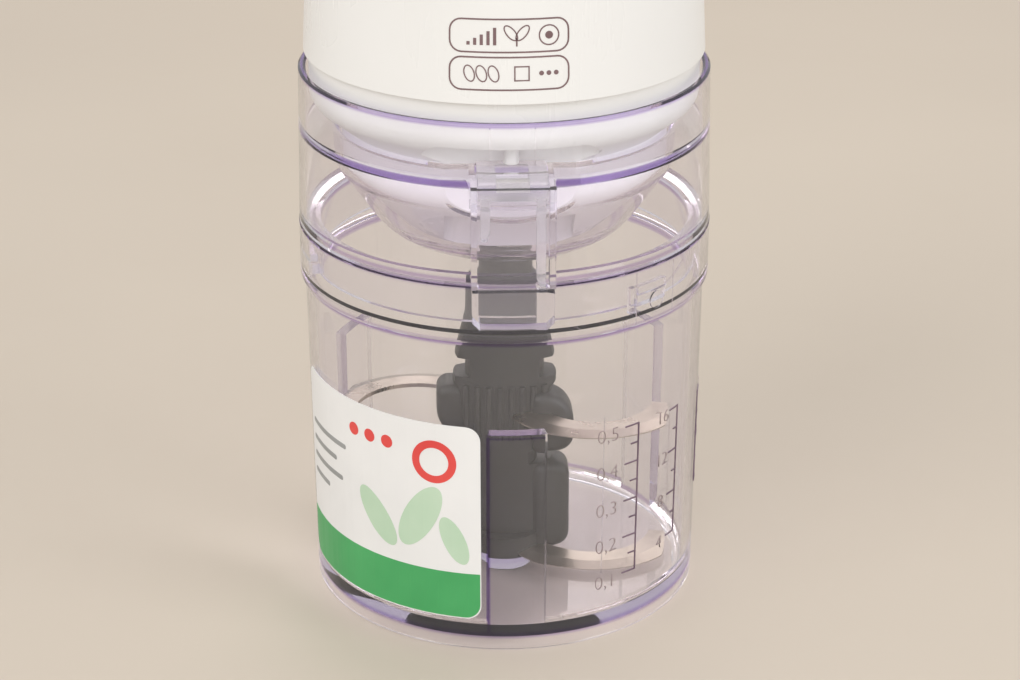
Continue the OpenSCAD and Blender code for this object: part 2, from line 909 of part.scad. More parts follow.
module stem_body() {
    rod(stem_r, stem_low, foot_top);
    stem_grip();
    rotate_extrude()
        polygon([
            [0, flat_top - cut],
            [grip_flat - cut, flat_top - cut],
            [bell_r, flat_top],
            [bell_r - bell_draft, bell_top],
            [shaft_r, bell_top + bell_cone],
            [shaft_r, stem_top - stem_edge],
            [shaft_r - stem_edge, stem_top],
            [0, stem_top]
        ]);
    root_lobes(upper_blade_z - upper_lobe_low, upper_blade_z - upper_lobe_low + upper_lobe_h);
    root_lobes(stem_low, stem_low + lower_lobe_h);
    rod(pilot_r, stem_top - cut, pilot_top);
    for (turn = [0, 180])
        sector(
            pilot_r - cut, stem_dog_r, stem_top - cut, stem_top + dog_h,
            turn - stem_dog_deg / 2, stem_dog_deg
        );
}

module blade_stem() {
    color([0.3, 0.3, 0.28])
        difference() {
            stem_body();
            rod(stem_bore, stem_low - cut, stem_bore_top);
            rod(stem_bush_r, stem_bore_top - cut, stem_bore_top + stem_bush_h);
            rod(spindle_r + spindle_room, stem_bore_top, spindle_top + spindle_room);
            s_blade(upper_blade_z, upper_hole_r, upper_hub_y, blade_slot_gap);
            s_blade(lower_blade_z, lower_hole_r, blade_hub_r, blade_slot_gap);
        }
}

module stem_bush() {
    color([0.72, 0.55, 0.3])
        ring(stem_bush_r, spindle_r + run_gap, stem_bore_top, stem_bore_top + stem_bush_h);
}

module funnel_fill(grow) {
    intersection() {
        rotate_extrude()
            polygon(concat([[0, funnel_low - grow]], funnel_side(grow), [
                [funnel_r + grow, ledge_top + cut],
                [0, ledge_top + cut]
            ]));
        behind(chord_out + grow);
    }
}

module lid_shell() {
    lid_r_in = lid_r_low - lid_wall;
    rotate_extrude()
        polygon([
            [spigot_r - spigot_t, spigot_low],
            [spigot_r, spigot_low],
            [spigot_r, lid_z],
            [lid_r_low, lid_z],
            [lid_r_top, lid_top - rim_edge],
            [lid_r_top - rim_edge, lid_top],
            [lid_r_top - lid_wall + rim_edge, lid_top],
            [lid_r_top - lid_wall, lid_top - rim_edge],
            [lid_r_in, lid_z + foot_t + foot_edge],
            [lid_r_in - foot_edge, lid_z + foot_t],
            [spigot_r - spigot_t, lid_z + foot_t - foot_edge]
        ]);
    for (i = [0:lug_n - 1])
        sector(
            spigot_r - spigot_t / 2, spigot_r + lug_reach, spigot_low, spigot_low + lug_h,
            lug_az + i * lug_pitch - lug_deg / 2, lug_deg
        );
    ring(lid_r_top - lid_wall / 2, funnel_r - funnel_top_round, ledge_low, ledge_top);
    intersection() {
        funnel_fill(0);
        rod(big, 0, ledge_top);
    }
}

module latch_box() {
    difference() {
        union() {
            block(-latch_x, latch_x, -latch_front, -lid_wall_back, latch_low, ledge_top);
            block(-latch_x, latch_x, -lid_wall_back, -chord_out, pocket_low - pocket_t, ledge_top);
        }
        difference() {
            block(
                -latch_in, latch_in, -latch_front + latch_wall, -lid_r_top + lid_wall,
                latch_low - cut, ledge_top + cut
            );
            rod(lid_r_top - lid_wall / 2, latch_low - 2 * cut, pocket_low);
        }
        rod(lid_r_low - lid_wall / 2, latch_low - cut, pocket_low - pocket_t - cut);
    }
    // Window frame on the inside of the front wall
    frame_front = -latch_front + latch_wall / 2;
    frame_back = -slider_front - front_gap / 2;
    for (side = [-1, 1])
        translate([side * (frame_x - frame_t / 2) - frame_t / 2, 0, 0])
            block(0, frame_t, frame_front, frame_back, latch_low, frame_top);
    for (z = [frame_mid, frame_top - frame_t])
        block(-frame_x, frame_x, frame_front, frame_back, z, z + frame_t);
}

// Rounding of the mouth's edge, left out along the platform
module mouth_edge() {
    low = ledge_top - mouth_round;
    difference() {
        rotate_extrude()
            polygon(concat(
                [[mouth_r - cut, ledge_top + cut], [mouth_r - cut, low]],
                arc([mouth_r + mouth_round, low], mouth_round, 180, 90, 6),
                [[mouth_r + mouth_round, ledge_top + cut]]
            ));
        rotate([90, 0, 0])
            linear_extrude(big)
                polygon([
                    [-platform_w / 2, ledge_top + 2 * cut],
                    [platform_w / 2, ledge_top + 2 * cut],
                    [platform_w / 2 + platform_slope, low - cut],
                    [-platform_w / 2 - platform_slope, low - cut]
                ]);
    }
}

module lid() {
    color([0.86, 0.83, 0.93, 0.35])
        difference() {
            union() {
                lid_shell();
                latch_box();
            }
            funnel_fill(-funnel_wall);
            mouth_edge();
            rod(funnel_hole_r, spigot_low - big / 2, ledge_top);
            // Pocket and window for the slider's top block
            block(
                -latch_in, latch_in, -latch_front + latch_wall, -chord_out,
                pocket_low, ledge_top + cut
            );
            block(-latch_in, latch_in, -lid_r_low - cut, -lid_r_top + 2 * lid_wall, pocket_low, window_top);
        }
}

// Clear slider: a top block over the ledge, a snap leg on the left and the foot on the right.
module interlock_slider() {
    color([0.8, 0.78, 0.92, 0.5]) {
        difference() {
            block(-block_x, block_x, -slider_front, -block_back, block_low, block_top);
            block(
                -frame_x, frame_x, -slider_front + block_dish, -block_back - block_dish,
                block_low + pocket_t, block_top + cut
            );
        }
        slider_leg(-1, leg_low);
        slider_leg(1, foot_low);
    }
}

module slider_leg(side, low) {
    translate([0, -slider_front + leg_t, 0])
        rotate([90, 0, 0])
            linear_extrude(leg_t)
                polygon([
                    [side * leg_x, block_low + cut],
                    [side * leg_x, low],
                    [side * (leg_x - leg_w + foot_cut), low],
                    [side * (leg_x - leg_w), low + leg_taper],
                    [side * (leg_x - leg_w), block_low + cut]
                ]);
}

module interlock_pin() {
    head_top = guide_top - slide_gap;
    color([0.9, 0.9, 0.88])
        translate([0, -pin_y, 0]) {
            rod(pin_r, block_top + slide_gap, head_top);
            rod(pin_head_r, head_top - pin_head_t, head_top);
        }
}

module interlock_switch() {
    switch_body_top = guide_top + switch_body_h;
    color([0.15, 0.15, 0.16]) {
        difference() {
            block(
                -switch_w / 2, switch_w / 2, -switch_y - switch_d / 2, -switch_y + switch_d / 2,
                guide_top, switch_body_top
            );
            for (x = [-switch_w / 3, switch_w / 3])
                translate([x, -switch_y, guide_top + switch_body_h * 2 / 3])
                    rotate([90, 0, 0]) cylinder(r = switch_hole_r, h = 2 * switch_d, center = true);
        }
        for (x = [-switch_w / 3, 0, switch_w / 3])
            block(
                x - tab_t / 2, x + tab_t / 2, -switch_y - tab_h / 2, -switch_y + tab_h / 2,
                switch_body_top, switch_body_top + tab_h
            );
    }
}

module lower_fill(grow) {
    rotate_extrude()
        polygon(concat(
            [[0, nose_z - grow]],
            nose_side(grow),
            skirt_side(grow),
            [[0, skirt_top]]
        ));
}

// Room over the latch, with round upper corners
module recess() {
    side_x = recess_w / 2 - recess_round;
    block(-recess_w / 2, recess_w / 2, -big, -flat_y, nose_z - cut, recess_top - recess_round);
    block(-side_x, side_x, -big, -flat_y, nose_z - cut, recess_top);
    for (x = [-side_x, side_x])
        translate([x, -flat_y, recess_top - recess_round])
            rotate([90, 0, 0]) cylinder(r = recess_round, h = big);
}

module lower_housing() {
    sleeve_r = ring_r + sleeve_t;
    recess_x = recess_w / 2 + head_wall;
    notch_x = notch_w / 2 + head_wall;
    lip_r = skirt_r - head_wall;
    color([0.96, 0.96, 0.95])
        difference() {
            union() {
                difference() {
                    lower_fill(0);
                    lower_fill(-head_wall);
                    rod(lip_r, skirt_top - cut, skirt_top + cut);
                }
                // Lip that locates the upper housing
                difference() {
                    ring(lip_r + lip_t, lip_r - lip_t, skirt_top - lip_h, skirt_top + lip_h);
                    around(housing_screw_az, screw_ring_r)
                        rod(screw_boss_r + slide_gap, skirt_top, skirt_top + lip_h + cut);
                }
                intersection() {
                    lower_fill(0);
                    union() {
                        // Floor under the gears, the bush hub and the gear sleeve
                        ring(nose_r, output_r, gear_floor - gear_floor_t, gear_floor);
                        ring(hub_r, output_r, bush_low, gear_floor);
                        ring(sleeve_r, ring_r, gear_floor - cut, base_low);
                        for (a = [0:45:315])
                            rotate([0, 0, a])
                                block(
                                    sleeve_r - cut / 2, nose_r, -gear_rib_t / 2, gear_rib_t / 2,
                                    gear_floor - cut, base_low - gear_rib_t
                                );
                        around([0:90:270], base_screw_r) rod(base_boss_r, gear_floor - cut, base_low);
                        // Walls behind the recess and the notch
                        block(
                            -recess_x, recess_x, -skirt_r, -flat_y + head_wall,
                            nose_z, recess_top + head_wall
                        );
                        block(
                            -notch_x, notch_x, -nose_r, -notch_y + head_wall,
                            nose_z, notch_top + head_wall
                        );
                        translate([0, -pin_y, 0]) rod(guide_r, recess_top, guide_top);
                        around(housing_screw_az, screw_ring_r) rod(screw_boss_r, ledge_top, skirt_top);
                    }
                }
            }
            recess();
            block(-notch_w / 2, notch_w / 2, -big, -notch_y, nose_z - cut, notch_top);
            rod(coupling_hole_r, nose_z - cut, nose_z + head_wall + cut);
            rod(bush_r, bush_low - cut, gear_floor + cut);
            translate([0, -pin_y, 0]) {
                rod(pin_r + run_gap, recess_top - cut, guide_top + cut);
                rod(pin_head_r + slide_gap, guide_step, guide_top + cut);
            }
            around(housing_screw_az, screw_ring_r) {
                rod(screw_head_r + screw_play, nose_z, housing_screw_seat);
                rod(screw_r + screw_play, nose_z, skirt_top + cut);
            }
            around([0:90:270], base_screw_r) rod(screw_r, base_low - base_screw_h, base_low + cut);
        }
}

module upper_side(grow) {
    polygon(concat(
        [[0, seam_z - cut * (grow < 0 ? 1 : 0)]],
        [[head_r + grow, seam_z - cut * (grow < 0 ? 1 : 0)]],
        arc([head_r_top - crown_r, crown_edge_z], crown_r + grow, 0, 90, 16),
        [[0, crown_z + grow]]
    ));
}

module upper_housing() {
    color([0.97, 0.97, 0.96])
        difference() {
            union() {
                difference() {
                    rotate_extrude() upper_side(0);
                    rotate_extrude() upper_side(-head_wall);
                }
                rod(well_r + well_wall, well_floor, crown_z - head_wall / 4);
                intersection() {
                    rotate_extrude() upper_side(0);
                    around(housing_screw_az, screw_ring_r)
                        rod(screw_boss_r, seam_z, seam_z + housing_boss_h);
                }
            }
            rod(well_r, well_floor + well_t, crown_z + cut);
            rod(guide_post_r + guide_post_gap, well_floor - cut, well_floor + well_t + cut);
            translate([0, button_leg_y, 0])
                rod(button_leg_hole, well_floor - cut, well_floor + well_t + cut);
            around(housing_screw_az, screw_ring_r) rod(screw_r, seam_z - cut, seam_z + housing_screw_h);
            translate([0, 0, gland_z]) rotate([-90, 0, 0]) cylinder(r = gland_r + gland_wall, h = big);
            for (i = [0:vent_n - 1])
                translate([(i - (vent_n - 1) / 2) * vent_step, 0, 0])
                    block(-vent_w / 2, vent_w / 2, 0, big, vent_z, vent_z + vent_h);
        }
}

module cord_gland() {
    gland_len = gland_inner + gland_flange;
    color([0.9, 0.9, 0.89])
        translate([0, gland_y, gland_z])
            rotate([-90, 0, 0])
                difference() {
                    union() {
                        translate([0, 0, -gland_inner]) cylinder(r = gland_r + gland_wall, h = gland_inner);
                        cylinder(r = gland_flange_r, h = gland_flange);
                    }
                    translate([0, 0, -gland_inner - cut]) cylinder(r = gland_r, h = gland_len + 2 * cut);
                }
}

module housing_screws() {
    color([0.7, 0.7, 0.72])
        around(housing_screw_az, screw_ring_r) {
            rod(screw_r, housing_screw_seat - cut, seam_z + housing_screw_h);
            rod(screw_head_r, housing_screw_seat - screw_head_h, housing_screw_seat);
        }
}

module press_button() {
    edge_c = [button_r - button_edge, button_top - button_edge - button_crown];
    color([0.93, 0.93, 0.92]) {
        difference() {
            rotate_extrude()
                polygon(concat(
                    [[0, button_low], [button_r, button_low]],
                    arc(edge_c, button_edge, 0, button_edge_deg, 6),
                    [[0, button_top]]
                ));
            rod(button_r - button_skin, button_low - cut, button_ceiling);
        }
        rod(guide_post_r, post_flange_top - post_flange_t, button_ceiling + cut);
        rod(post_flange_r, post_flange_top - post_flange_t, post_flange_top);
        translate([0, button_leg_y, 0]) rod(button_leg_r, button_leg_low, button_ceiling + cut);
    }
}

function spring_point(i) = let (a = i * 360 / spring_rings, n = spring_turns * spring_rings)
    [
        spring_r * cos(a), spring_r * sin(a),
        spring_low + spring_wire_r + (button_ceiling - spring_low - 2 * spring_wire_r) * i / n
    ];
function spring_ring(i) = let (a = i * 360 / spring_rings, c = spring_point(i))
    [
        for (k = [0:spring_sides - 1])
            let (b = k * 360 / spring_sides)
            c + spring_wire_r * [cos(b) * cos(a), cos(b) * sin(a), sin(b)]
    ];
spring_pitch = (button_ceiling - spring_low - 2 * spring_wire_r) / spring_turns;
echo(least_spring_gap = spring_pitch - 2 * spring_wire_r);

// One unbroken wire of straight facets between the well floor and the button
module button_spring() {
    n = spring_turns * spring_rings;
    s = spring_sides;
    points = [for (i = [0:n], p = spring_ring(i)) p];
    sides = [
        for (i = [0:n - 1], k = [0:s - 1], half = [0, 1])
            let (a = i * s + k, b = i * s + (k + 1) % s)
            half == 0 ? [a, a + s, b] : [b, a + s, b + s]
    ];
    ends = [
        for (k = [1:s - 2], far = [0, 1])
            far == 0 ? [0, k, k + 1] : [n * s, n * s + k + 1, n * s + k]
    ];
    color([0.6, 0.6, 0.62])
        polyhedron(points = points, faces = concat(sides, ends));
}

module start_switch() {
    color([0.16, 0.16, 0.17])
        difference() {
            block(
                -start_switch_w / 2, start_switch_w / 2,
                bearing_hub_r + slide_gap, button_leg_y + start_switch_back,
                bracket_top, switch_top
            );
            for (x = [-start_switch_w / 3, start_switch_w / 3])
                translate([x, button_leg_y, bracket_top + switch_h / 3])
                    rotate([90, 0, 0]) cylinder(r = start_hole_r, h = 2 * button_leg_y, center = true);
        }
}

module motor_base() {
    color([0.62, 0.63, 0.65])
        difference() {
            union() {
                rod(base_r, base_low, base_top);
                rod(bearing_hub_r, base_low, bearing_top);
                corners(post_x, post_y) rod(post_r, base_low, stack_low);
            }
            rod(motor_shaft_r + shaft_hole_gap, base_low - cut, base_top);
            rod(bearing_r, bearing_low, bearing_top + cut);
            around([0:90:270], base_screw_r) rod(screw_r + screw_play, base_low - cut, base_top + cut);
            corners(post_x, post_y) rod(bolt_r, bolt_low, stack_low + cut);
        }
}

module base_screws() {
    color([0.7, 0.7, 0.72])
        around([0:90:270], base_screw_r) {
            rod(screw_r, base_low - base_screw_h, base_top + cut);
            rod(screw_head_r, base_top, base_top + screw_head_h);
        }
}

module shaft_bearing(low) {
    color([0.72, 0.55, 0.3])
        ring(bearing_r, motor_shaft_r + run_gap, low, low + bearing_h);
}

module lower_bearing() {
    shaft_bearing(bearing_low);
}

module upper_bearing() {
    shaft_bearing(upper_bearing_low);
}

module stator_core() {
    half_w = stator_w / 2;
    half_d = stator_d / 2;
    color([0.45, 0.46, 0.48])
        difference() {
            union() {
                block(-half_w + stator_round, half_w - stator_round, -half_d, half_d, stack_low, stack_top);
                block(-half_w, half_w, -half_d + stator_round, half_d - stator_round, stack_low, stack_top);
                corners(half_w - stator_round, half_d - stator_round)
                    rod(stator_round, stack_low, stack_top);
            }
            rod(stator_bore_r, stack_low - cut, stack_top + cut);
            corners(post_x, post_y) rod(bolt_r + bolt_play, stack_low - cut, stack_top + cut);
            // Slots for the coil sides
            for (side = [-1, 1], half = [-1, 1])
                scale([side, half, 1])
                    block(
                        coil_x - slot_open, coil_x + coil_w + coil_gap,
                        pole_neck / 2, pole_neck / 2 + coil_build + coil_gap,
                        stack_low - cut, stack_top + cut
                    );
        }
}

module field_coils() {
    y = pole_neck / 2 + coil_gap;
    y_out = y + coil_build - 2 * coil_gap;
    color([0.72, 0.4, 0.2])
        for (side = [-1, 1])
            scale([side, 1, 1])
                difference() {
                    block(
                        coil_x, coil_x + coil_w, -y_out, y_out,
                        stack_low - coil_end, stack_top + coil_end
                    );
                    block(
                        coil_x - cut, coil_x + coil_w + cut, -y, y,
                        stack_low - coil_gap, stack_top + coil_gap
                    );
                }
}

module upper_bracket() {
    color([0.62, 0.63, 0.65])
        difference() {
            union() {
                block(-post_x - post_r, post_x + post_r, -post_y, post_y, bracket_low, bracket_top);
                block(-post_x, post_x, -post_y - post_r, post_y + post_r, bracket_low, bracket_top);
                block(
                    -brush_w, brush_w, -holder_y - holder_len, holder_y + holder_len,
                    bracket_low, bracket_top
                );
                corners(post_x, post_y) rod(post_r, stack_top, bracket_top);
                rod(bearing_hub_r, upper_bearing_low, upper_bearing_top);
            }
            rod(bearing_r, upper_bearing_low - cut, upper_bearing_top + cut);
            corners(post_x, post_y) rod(bolt_r + bolt_play, stack_top - cut, bracket_top + cut);
        }
}

module motor_screws() {
    color([0.7, 0.7, 0.72])
        corners(post_x, post_y) {
            rod(bolt_r, bolt_low, bracket_top + cut);
            rod(screw_head_r, bracket_top, bracket_top + screw_head_h);
        }
}

module brush_holders() {
    color([0.78, 0.62, 0.3])
        for (turn = [0, 180])
            rotate([0, 0, turn])
                difference() {
                    block(
                        -brush_w / 2 - holder_wall, brush_w / 2 + holder_wall,
                        holder_y, holder_y + holder_len,
                        holder_z - brush_w / 2 - holder_wall, bracket_low
                    );
                    block(
                        -brush_w / 2, brush_w / 2, holder_y - cut, holder_y + holder_len + cut,
                        holder_z - brush_w / 2, holder_z + brush_w / 2
                    );
                }
}

module carbon_brushes() {
    color([0.12, 0.12, 0.12])
        for (turn = [0, 180])
            rotate([0, 0, turn])
                difference() {
                    block(
                        -brush_w / 2, brush_w / 2,
                        commutator_r - brush_w, holder_y + holder_len - brush_back,
                        holder_z - brush_w / 2, holder_z + brush_w / 2
                    );
                    rod(
                        commutator_r + brush_gap,
                        commutator_low - commutator_h, commutator_top + commutator_h
                    );
                }
}

module motor_shaft() {
    color([0.75, 0.76, 0.78]) {
        rod(sun_bore_r, gear_low, shaft_step_z);
        rod(motor_shaft_r, shaft_step_z, motor_shaft_top);
    }
}

module armature_core() {
    color([0.45, 0.46, 0.48])
        difference() {
            ring(armature_r, motor_shaft_r, stack_low, stack_top);
            around([for (i = [0:slot_n - 1]) i * 360 / slot_n], armature_r - slot_depth) {
                rod(slot_r, stack_low - cut, stack_top + cut);
                block(0, slot_depth + cut, -slot_w / 2, slot_w / 2, stack_low - cut, stack_top + cut);
            }
        }
}

module armature_windings() {
    color([0.72, 0.4, 0.2]) {
        winding_end(stack_low, -1);
        winding_end(stack_top, 1);
    }
}

module winding_end(z, way) {
    r = armature_r - winding_in;
    far = coil_end - winding_short;
    rotate_extrude()
        polygon([
            [motor_shaft_r, z],
            [r - winding_edge, z],
            [r, z + way * winding_edge],
            [r, z + way * (far - winding_round)],
            [r - winding_round, z + way * far],
            [motor_shaft_r + winding_round, z + way * far],
            [motor_shaft_r, z + way * (far - winding_edge)]
        ]);
}

module commutator() {
    bars = 2 * slot_n;
    color([0.76, 0.45, 0.25])
        difference() {
            ring(commutator_r, motor_shaft_r, commutator_low, commutator_top);
            for (i = [0:bars - 1])
                rotate([0, 0, i * 360 / bars])
                    block(
                        commutator_r - bar_depth, commutator_r + cut, -bar_gap / 2, bar_gap / 2,
                        commutator_low - cut, commutator_top + cut
                    );
        }
}

module cooling_fan() {
    color([0.2, 0.2, 0.21])
        difference() {
            union() {
                rod(fan_r, fan_low, fan_low + fan_disc);
                rod(motor_shaft_r + fan_hub, fan_low, fan_low + fan_h);
                intersection() {
                    for (i = [0:fan_n - 1])
                        rotate([0, 0, i * 360 / fan_n])
                            translate([motor_shaft_r, 0, fan_low])
                                rotate([0, 0, fan_lean])
                                    block(0, fan_r, -fan_blade_t / 2, fan_blade_t / 2, 0, fan_h);
                    rod(fan_r, fan_low, fan_low + fan_h);
                }
            }
            rod(motor_shaft_r, fan_low - cut, fan_low + fan_h + cut);
        }
}

module sun_gear() {
    color([0.75, 0.76, 0.78])
        difference() {
            translate([0, 0, gear_low]) linear_extrude(gear_h)
                polygon(gear_points(sun_n, tooth_add, tooth_ded, backlash));
            rod(sun_bore_r, gear_low - cut, gear_top + cut);
        }
}

module ring_gear() {
    low = gear_low - tooth_lead;
    color([0.85, 0.84, 0.8])
        difference() {
            rod(ring_r, gear_floor, base_low);
            rod(carrier_r + carrier_play, gear_floor - cut, low);
            translate([0, 0, low - cut / 2]) linear_extrude(base_low - low + cut)
                rotate([0, 0, 180 / ring_n])
                    polygon(gear_points(ring_n, tooth_ded, tooth_add, -backlash));
        }
}

module planet_gear(i) {
    color([0.92, 0.91, 0.86])
        rotate([0, 0, planet_az[i - 1]])
            translate([orbit_r, 0, 0])
                difference() {
                    translate([0, 0, gear_low]) linear_extrude(gear_h)
                        rotate([0, 0, 180 / planet_n])
                            polygon(gear_points(planet_n, tooth_add, tooth_ded, backlash));
                    rod(planet_pin_r + run_gap, gear_low - cut, gear_top + cut);
                }
}

module planet_gear_1() {
    planet_gear(1);
}

module planet_gear_2() {
    planet_gear(2);
}

module planet_gear_3() {
    planet_gear(3);
}

module planet_carrier() {
    color([0.7, 0.7, 0.72])
        difference() {
            rod(carrier_r, carrier_low, carrier_top);
            rod(output_r, carrier_low - cut, carrier_top + cut);
            around(planet_az, orbit_r) rod(planet_pin_r, carrier_low - cut, carrier_top + cut);
        }
}

module planet_pins() {
    color([0.75, 0.76, 0.78])
        around(planet_az, orbit_r) rod(planet_pin_r, carrier_low, pin_top);
}

module output_shaft() {
    color([0.75, 0.76, 0.78])
        rod(output_r, shaft_low, carrier_top);
}

module output_bush() {
    color([0.72, 0.55, 0.3])
        ring(bush_r, output_r + run_gap, bush_low, gear_floor);
}

// Cup with two dogs that push the stem's dogs round
module drive_coupling() {
    color([0.32, 0.32, 0.31])
        difference() {
            union() {
                ring(coupling_r, dog_ro, coupling_low, coupling_top);
                rod(coupling_r - coupling_wall / 4, shaft_low, coupling_top);
                for (turn = [90, 270])
                    sector(dog_ri, dog_ro + cut, dog_low, shaft_low + cut, turn - dog_deg / 2, dog_deg);
            }
            rod(output_r, shaft_low, coupling_top + cut);
        }
}

bowl();
bowl_spindle();
blade_stem();
upper_blade();
lower_blade();
stem_bush();
lid();
interlock_slider();
interlock_pin();
interlock_switch();
lower_housing();
upper_housing();
cord_gland();
housing_screws();
press_button();
button_spring();
start_switch();
motor_base();
base_screws();
lower_bearing();
stator_core();
field_coils();
upper_bracket();
motor_screws();
upper_bearing();
brush_holders();
carbon_brushes();
motor_shaft();
armature_core();
armature_windings();
commutator();
cooling_fan();
sun_gear();
ring_gear();
planet_gear_1();
planet_gear_2();
planet_gear_3();
planet_carrier();
planet_pins();
output_shaft();
output_bush();
drive_coupling();
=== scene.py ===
import math
import bpy
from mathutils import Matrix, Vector


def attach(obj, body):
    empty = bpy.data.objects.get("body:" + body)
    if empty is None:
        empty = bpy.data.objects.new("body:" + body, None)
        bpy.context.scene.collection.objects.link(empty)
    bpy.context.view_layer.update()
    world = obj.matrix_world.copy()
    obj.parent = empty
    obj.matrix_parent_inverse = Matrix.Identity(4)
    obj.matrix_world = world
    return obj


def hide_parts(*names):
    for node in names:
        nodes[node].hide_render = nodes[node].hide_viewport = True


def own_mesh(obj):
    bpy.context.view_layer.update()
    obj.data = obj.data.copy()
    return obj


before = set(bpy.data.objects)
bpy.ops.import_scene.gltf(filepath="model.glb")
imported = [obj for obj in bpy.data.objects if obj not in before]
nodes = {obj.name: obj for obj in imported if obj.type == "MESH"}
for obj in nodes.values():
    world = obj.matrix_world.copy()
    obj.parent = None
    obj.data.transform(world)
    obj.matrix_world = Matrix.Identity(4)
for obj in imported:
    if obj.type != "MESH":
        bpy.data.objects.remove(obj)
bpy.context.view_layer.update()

mm = 0.001
bpy.context.scene.view_settings.view_transform = "Standard"
print("frame loaded:", len(nodes), "nodes")


# small helpers for working as by hand

def editAll():
    bpy.ops.object.mode_set(mode="EDIT")
    bpy.ops.mesh.select_all(action="SELECT")


def endEdit():
    bpy.ops.object.mode_set(mode="OBJECT")


def settle():
    # the active object's place, turn and scale go into its mesh
    bpy.ops.object.transform_apply(location=True, rotation=True, scale=True)


def paint(obj, mat):
    obj.data.materials.clear()
    obj.data.materials.append(mat)


def clearSelection():
    if bpy.context.object and bpy.context.object.mode != "OBJECT":
        endEdit()
    bpy.ops.object.select_all(action="DESELECT")


def pick(obj):
    clearSelection()
    obj.select_set(True)
    bpy.context.view_layer.objects.active = obj


def applyAll(obj):
    pick(obj)
    for name in [m.name for m in obj.modifiers]:
        bpy.ops.object.modifier_apply(modifier=name)


def joinPieces(pieces, name):
    clearSelection()
    for p in pieces:
        p.select_set(True)
    bpy.context.view_layer.objects.active = pieces[0]
    if len(pieces) > 1:
        bpy.ops.object.join()
    pieces[0].name = name
    return pieces[0]


# flat shapes are drawn in the XZ plane, facing -Y, at x and z in millimetres

drawing = {"upright": (math.pi / 2, 0, 0), "cornerSteps": 6, "fontScale": 1.42, "curveSteps": 4, "weld": 0.01}


def flatPlate(x, z, w, h, corner=0.0, steps=1):
    clearSelection()
    bpy.ops.mesh.primitive_plane_add(size=1, location=(x * mm, 0, z * mm), rotation=drawing["upright"])
    obj = bpy.context.object
    obj.scale = (w * mm, h * mm, 1)
    settle()
    if corner:
        editAll()
        bpy.ops.mesh.bevel(offset=corner * mm, segments=drawing["cornerSteps"], affect="VERTICES")
        endEdit()
    if steps > 1:
        sliceUp(obj, steps)
    return obj


def flatDisc(x, z, r, sides=40, stretch=1.0, turn=0.0, steps=1):
    clearSelection()
    bpy.ops.mesh.primitive_circle_add(
        vertices=sides, radius=r * mm, fill_type="NGON", rotation=drawing["upright"],
    )
    obj = bpy.context.object
    obj.scale = (stretch, 1, 1)
    settle()
    editAll()
    if turn:
        bpy.ops.transform.rotate(value=math.radians(turn), orient_axis="Y", center_override=(0, 0, 0))
    bpy.ops.transform.translate(value=(x * mm, 0, z * mm))
    endEdit()
    if steps > 1:
        sliceUp(obj, steps)
    return obj


def hollow(obj, line):
    # leaves only an outline of that width
    pick(obj)
    editAll()
    bpy.ops.mesh.inset(thickness=line * mm, use_even_offset=True)
    bpy.ops.mesh.delete(type="FACE")
    endEdit()
    return obj


def sliceUp(obj, steps):
    # upright cuts, so that a flat plate can be wrapped round a wall
    pick(obj)
    xs = [v.co.x for v in obj.data.vertices]
    x0, x1 = min(xs), max(xs)
    bpy.ops.object.mode_set(mode="EDIT")
    for i in range(1, steps):
        bpy.ops.mesh.select_all(action="SELECT")
        bpy.ops.mesh.bisect(plane_co=(x0 + (x1 - x0) * i / steps, 0, 0), plane_no=(1, 0, 0))
    endEdit()
    return obj


def flatText(words, x, z, height, thinner):
    clearSelection()
    bpy.ops.object.text_add(location=(0, 0, 0))
    obj = bpy.context.object
    obj.data.body = words
    obj.data.size = height * mm * drawing["fontScale"]
    obj.data.align_x = "CENTER"
    obj.data.align_y = "CENTER"
    obj.data.offset = -thinner * mm
    obj.data.resolution_u = drawing["curveSteps"]
    bpy.ops.object.convert(target="MESH")
    obj = bpy.context.object
    editAll()
    bpy.ops.mesh.remove_doubles(threshold=drawing["weld"] * mm)
    endEdit()
    obj.rotation_euler = drawing["upright"]
    obj.location = (x * mm, 0, z * mm)
    settle()
    return obj


def wrapOn(obj, node, radius, facing, lift, thick):
    # bends a flat drawing round the axis, lays it on the node and gives it a thickness
    xs = [v.co.x for v in obj.data.vertices]
    pick(obj)
    bend = obj.modifiers.new("bend", "SIMPLE_DEFORM")
    bend.deform_method = "BEND"
    bend.deform_axis = "Z"
    bend.angle = (max(xs) - min(xs)) / (radius * mm)
    applyAll(obj)
    editAll()
    bpy.ops.transform.translate(value=(0, -radius * mm, 0))
    endEdit()
    obj.rotation_euler = (0, 0, math.radians(facing))
    settle()
    lay = obj.modifiers.new("lay", "SHRINKWRAP")
    lay.target = nodes[node]
    lay.wrap_method = "NEAREST_SURFACEPOINT"
    lay.wrap_mode = "ABOVE_SURFACE"
    lay.offset = lift * mm
    wall = obj.modifiers.new("wall", "SOLIDIFY")
    wall.thickness = thick * mm
    wall.offset = 1.0
    applyAll(obj)
    return obj


# shared surface effects

def newGroup(name, inputs, outputs):
    g = bpy.data.node_groups.new(name, "ShaderNodeTree")
    for n, v in inputs:
        s = g.interface.new_socket(name=n, in_out="INPUT", socket_type="NodeSocketFloat")
        s.default_value = v
    for n in outputs:
        g.interface.new_socket(name=n, in_out="OUTPUT", socket_type="NodeSocketFloat")
    return g, g.nodes.new("NodeGroupInput"), g.nodes.new("NodeGroupOutput")


def mathOf(tree, how, a, b):
    # one step of maths on two sockets, or on a socket and a number
    n = tree.nodes.new("ShaderNodeMath")
    n.operation = how
    tree.links.new(a, n.inputs[0])
    if isinstance(b, float):
        n.inputs[1].default_value = b
    else:
        tree.links.new(b, n.inputs[1])
    return n.outputs["Value"]


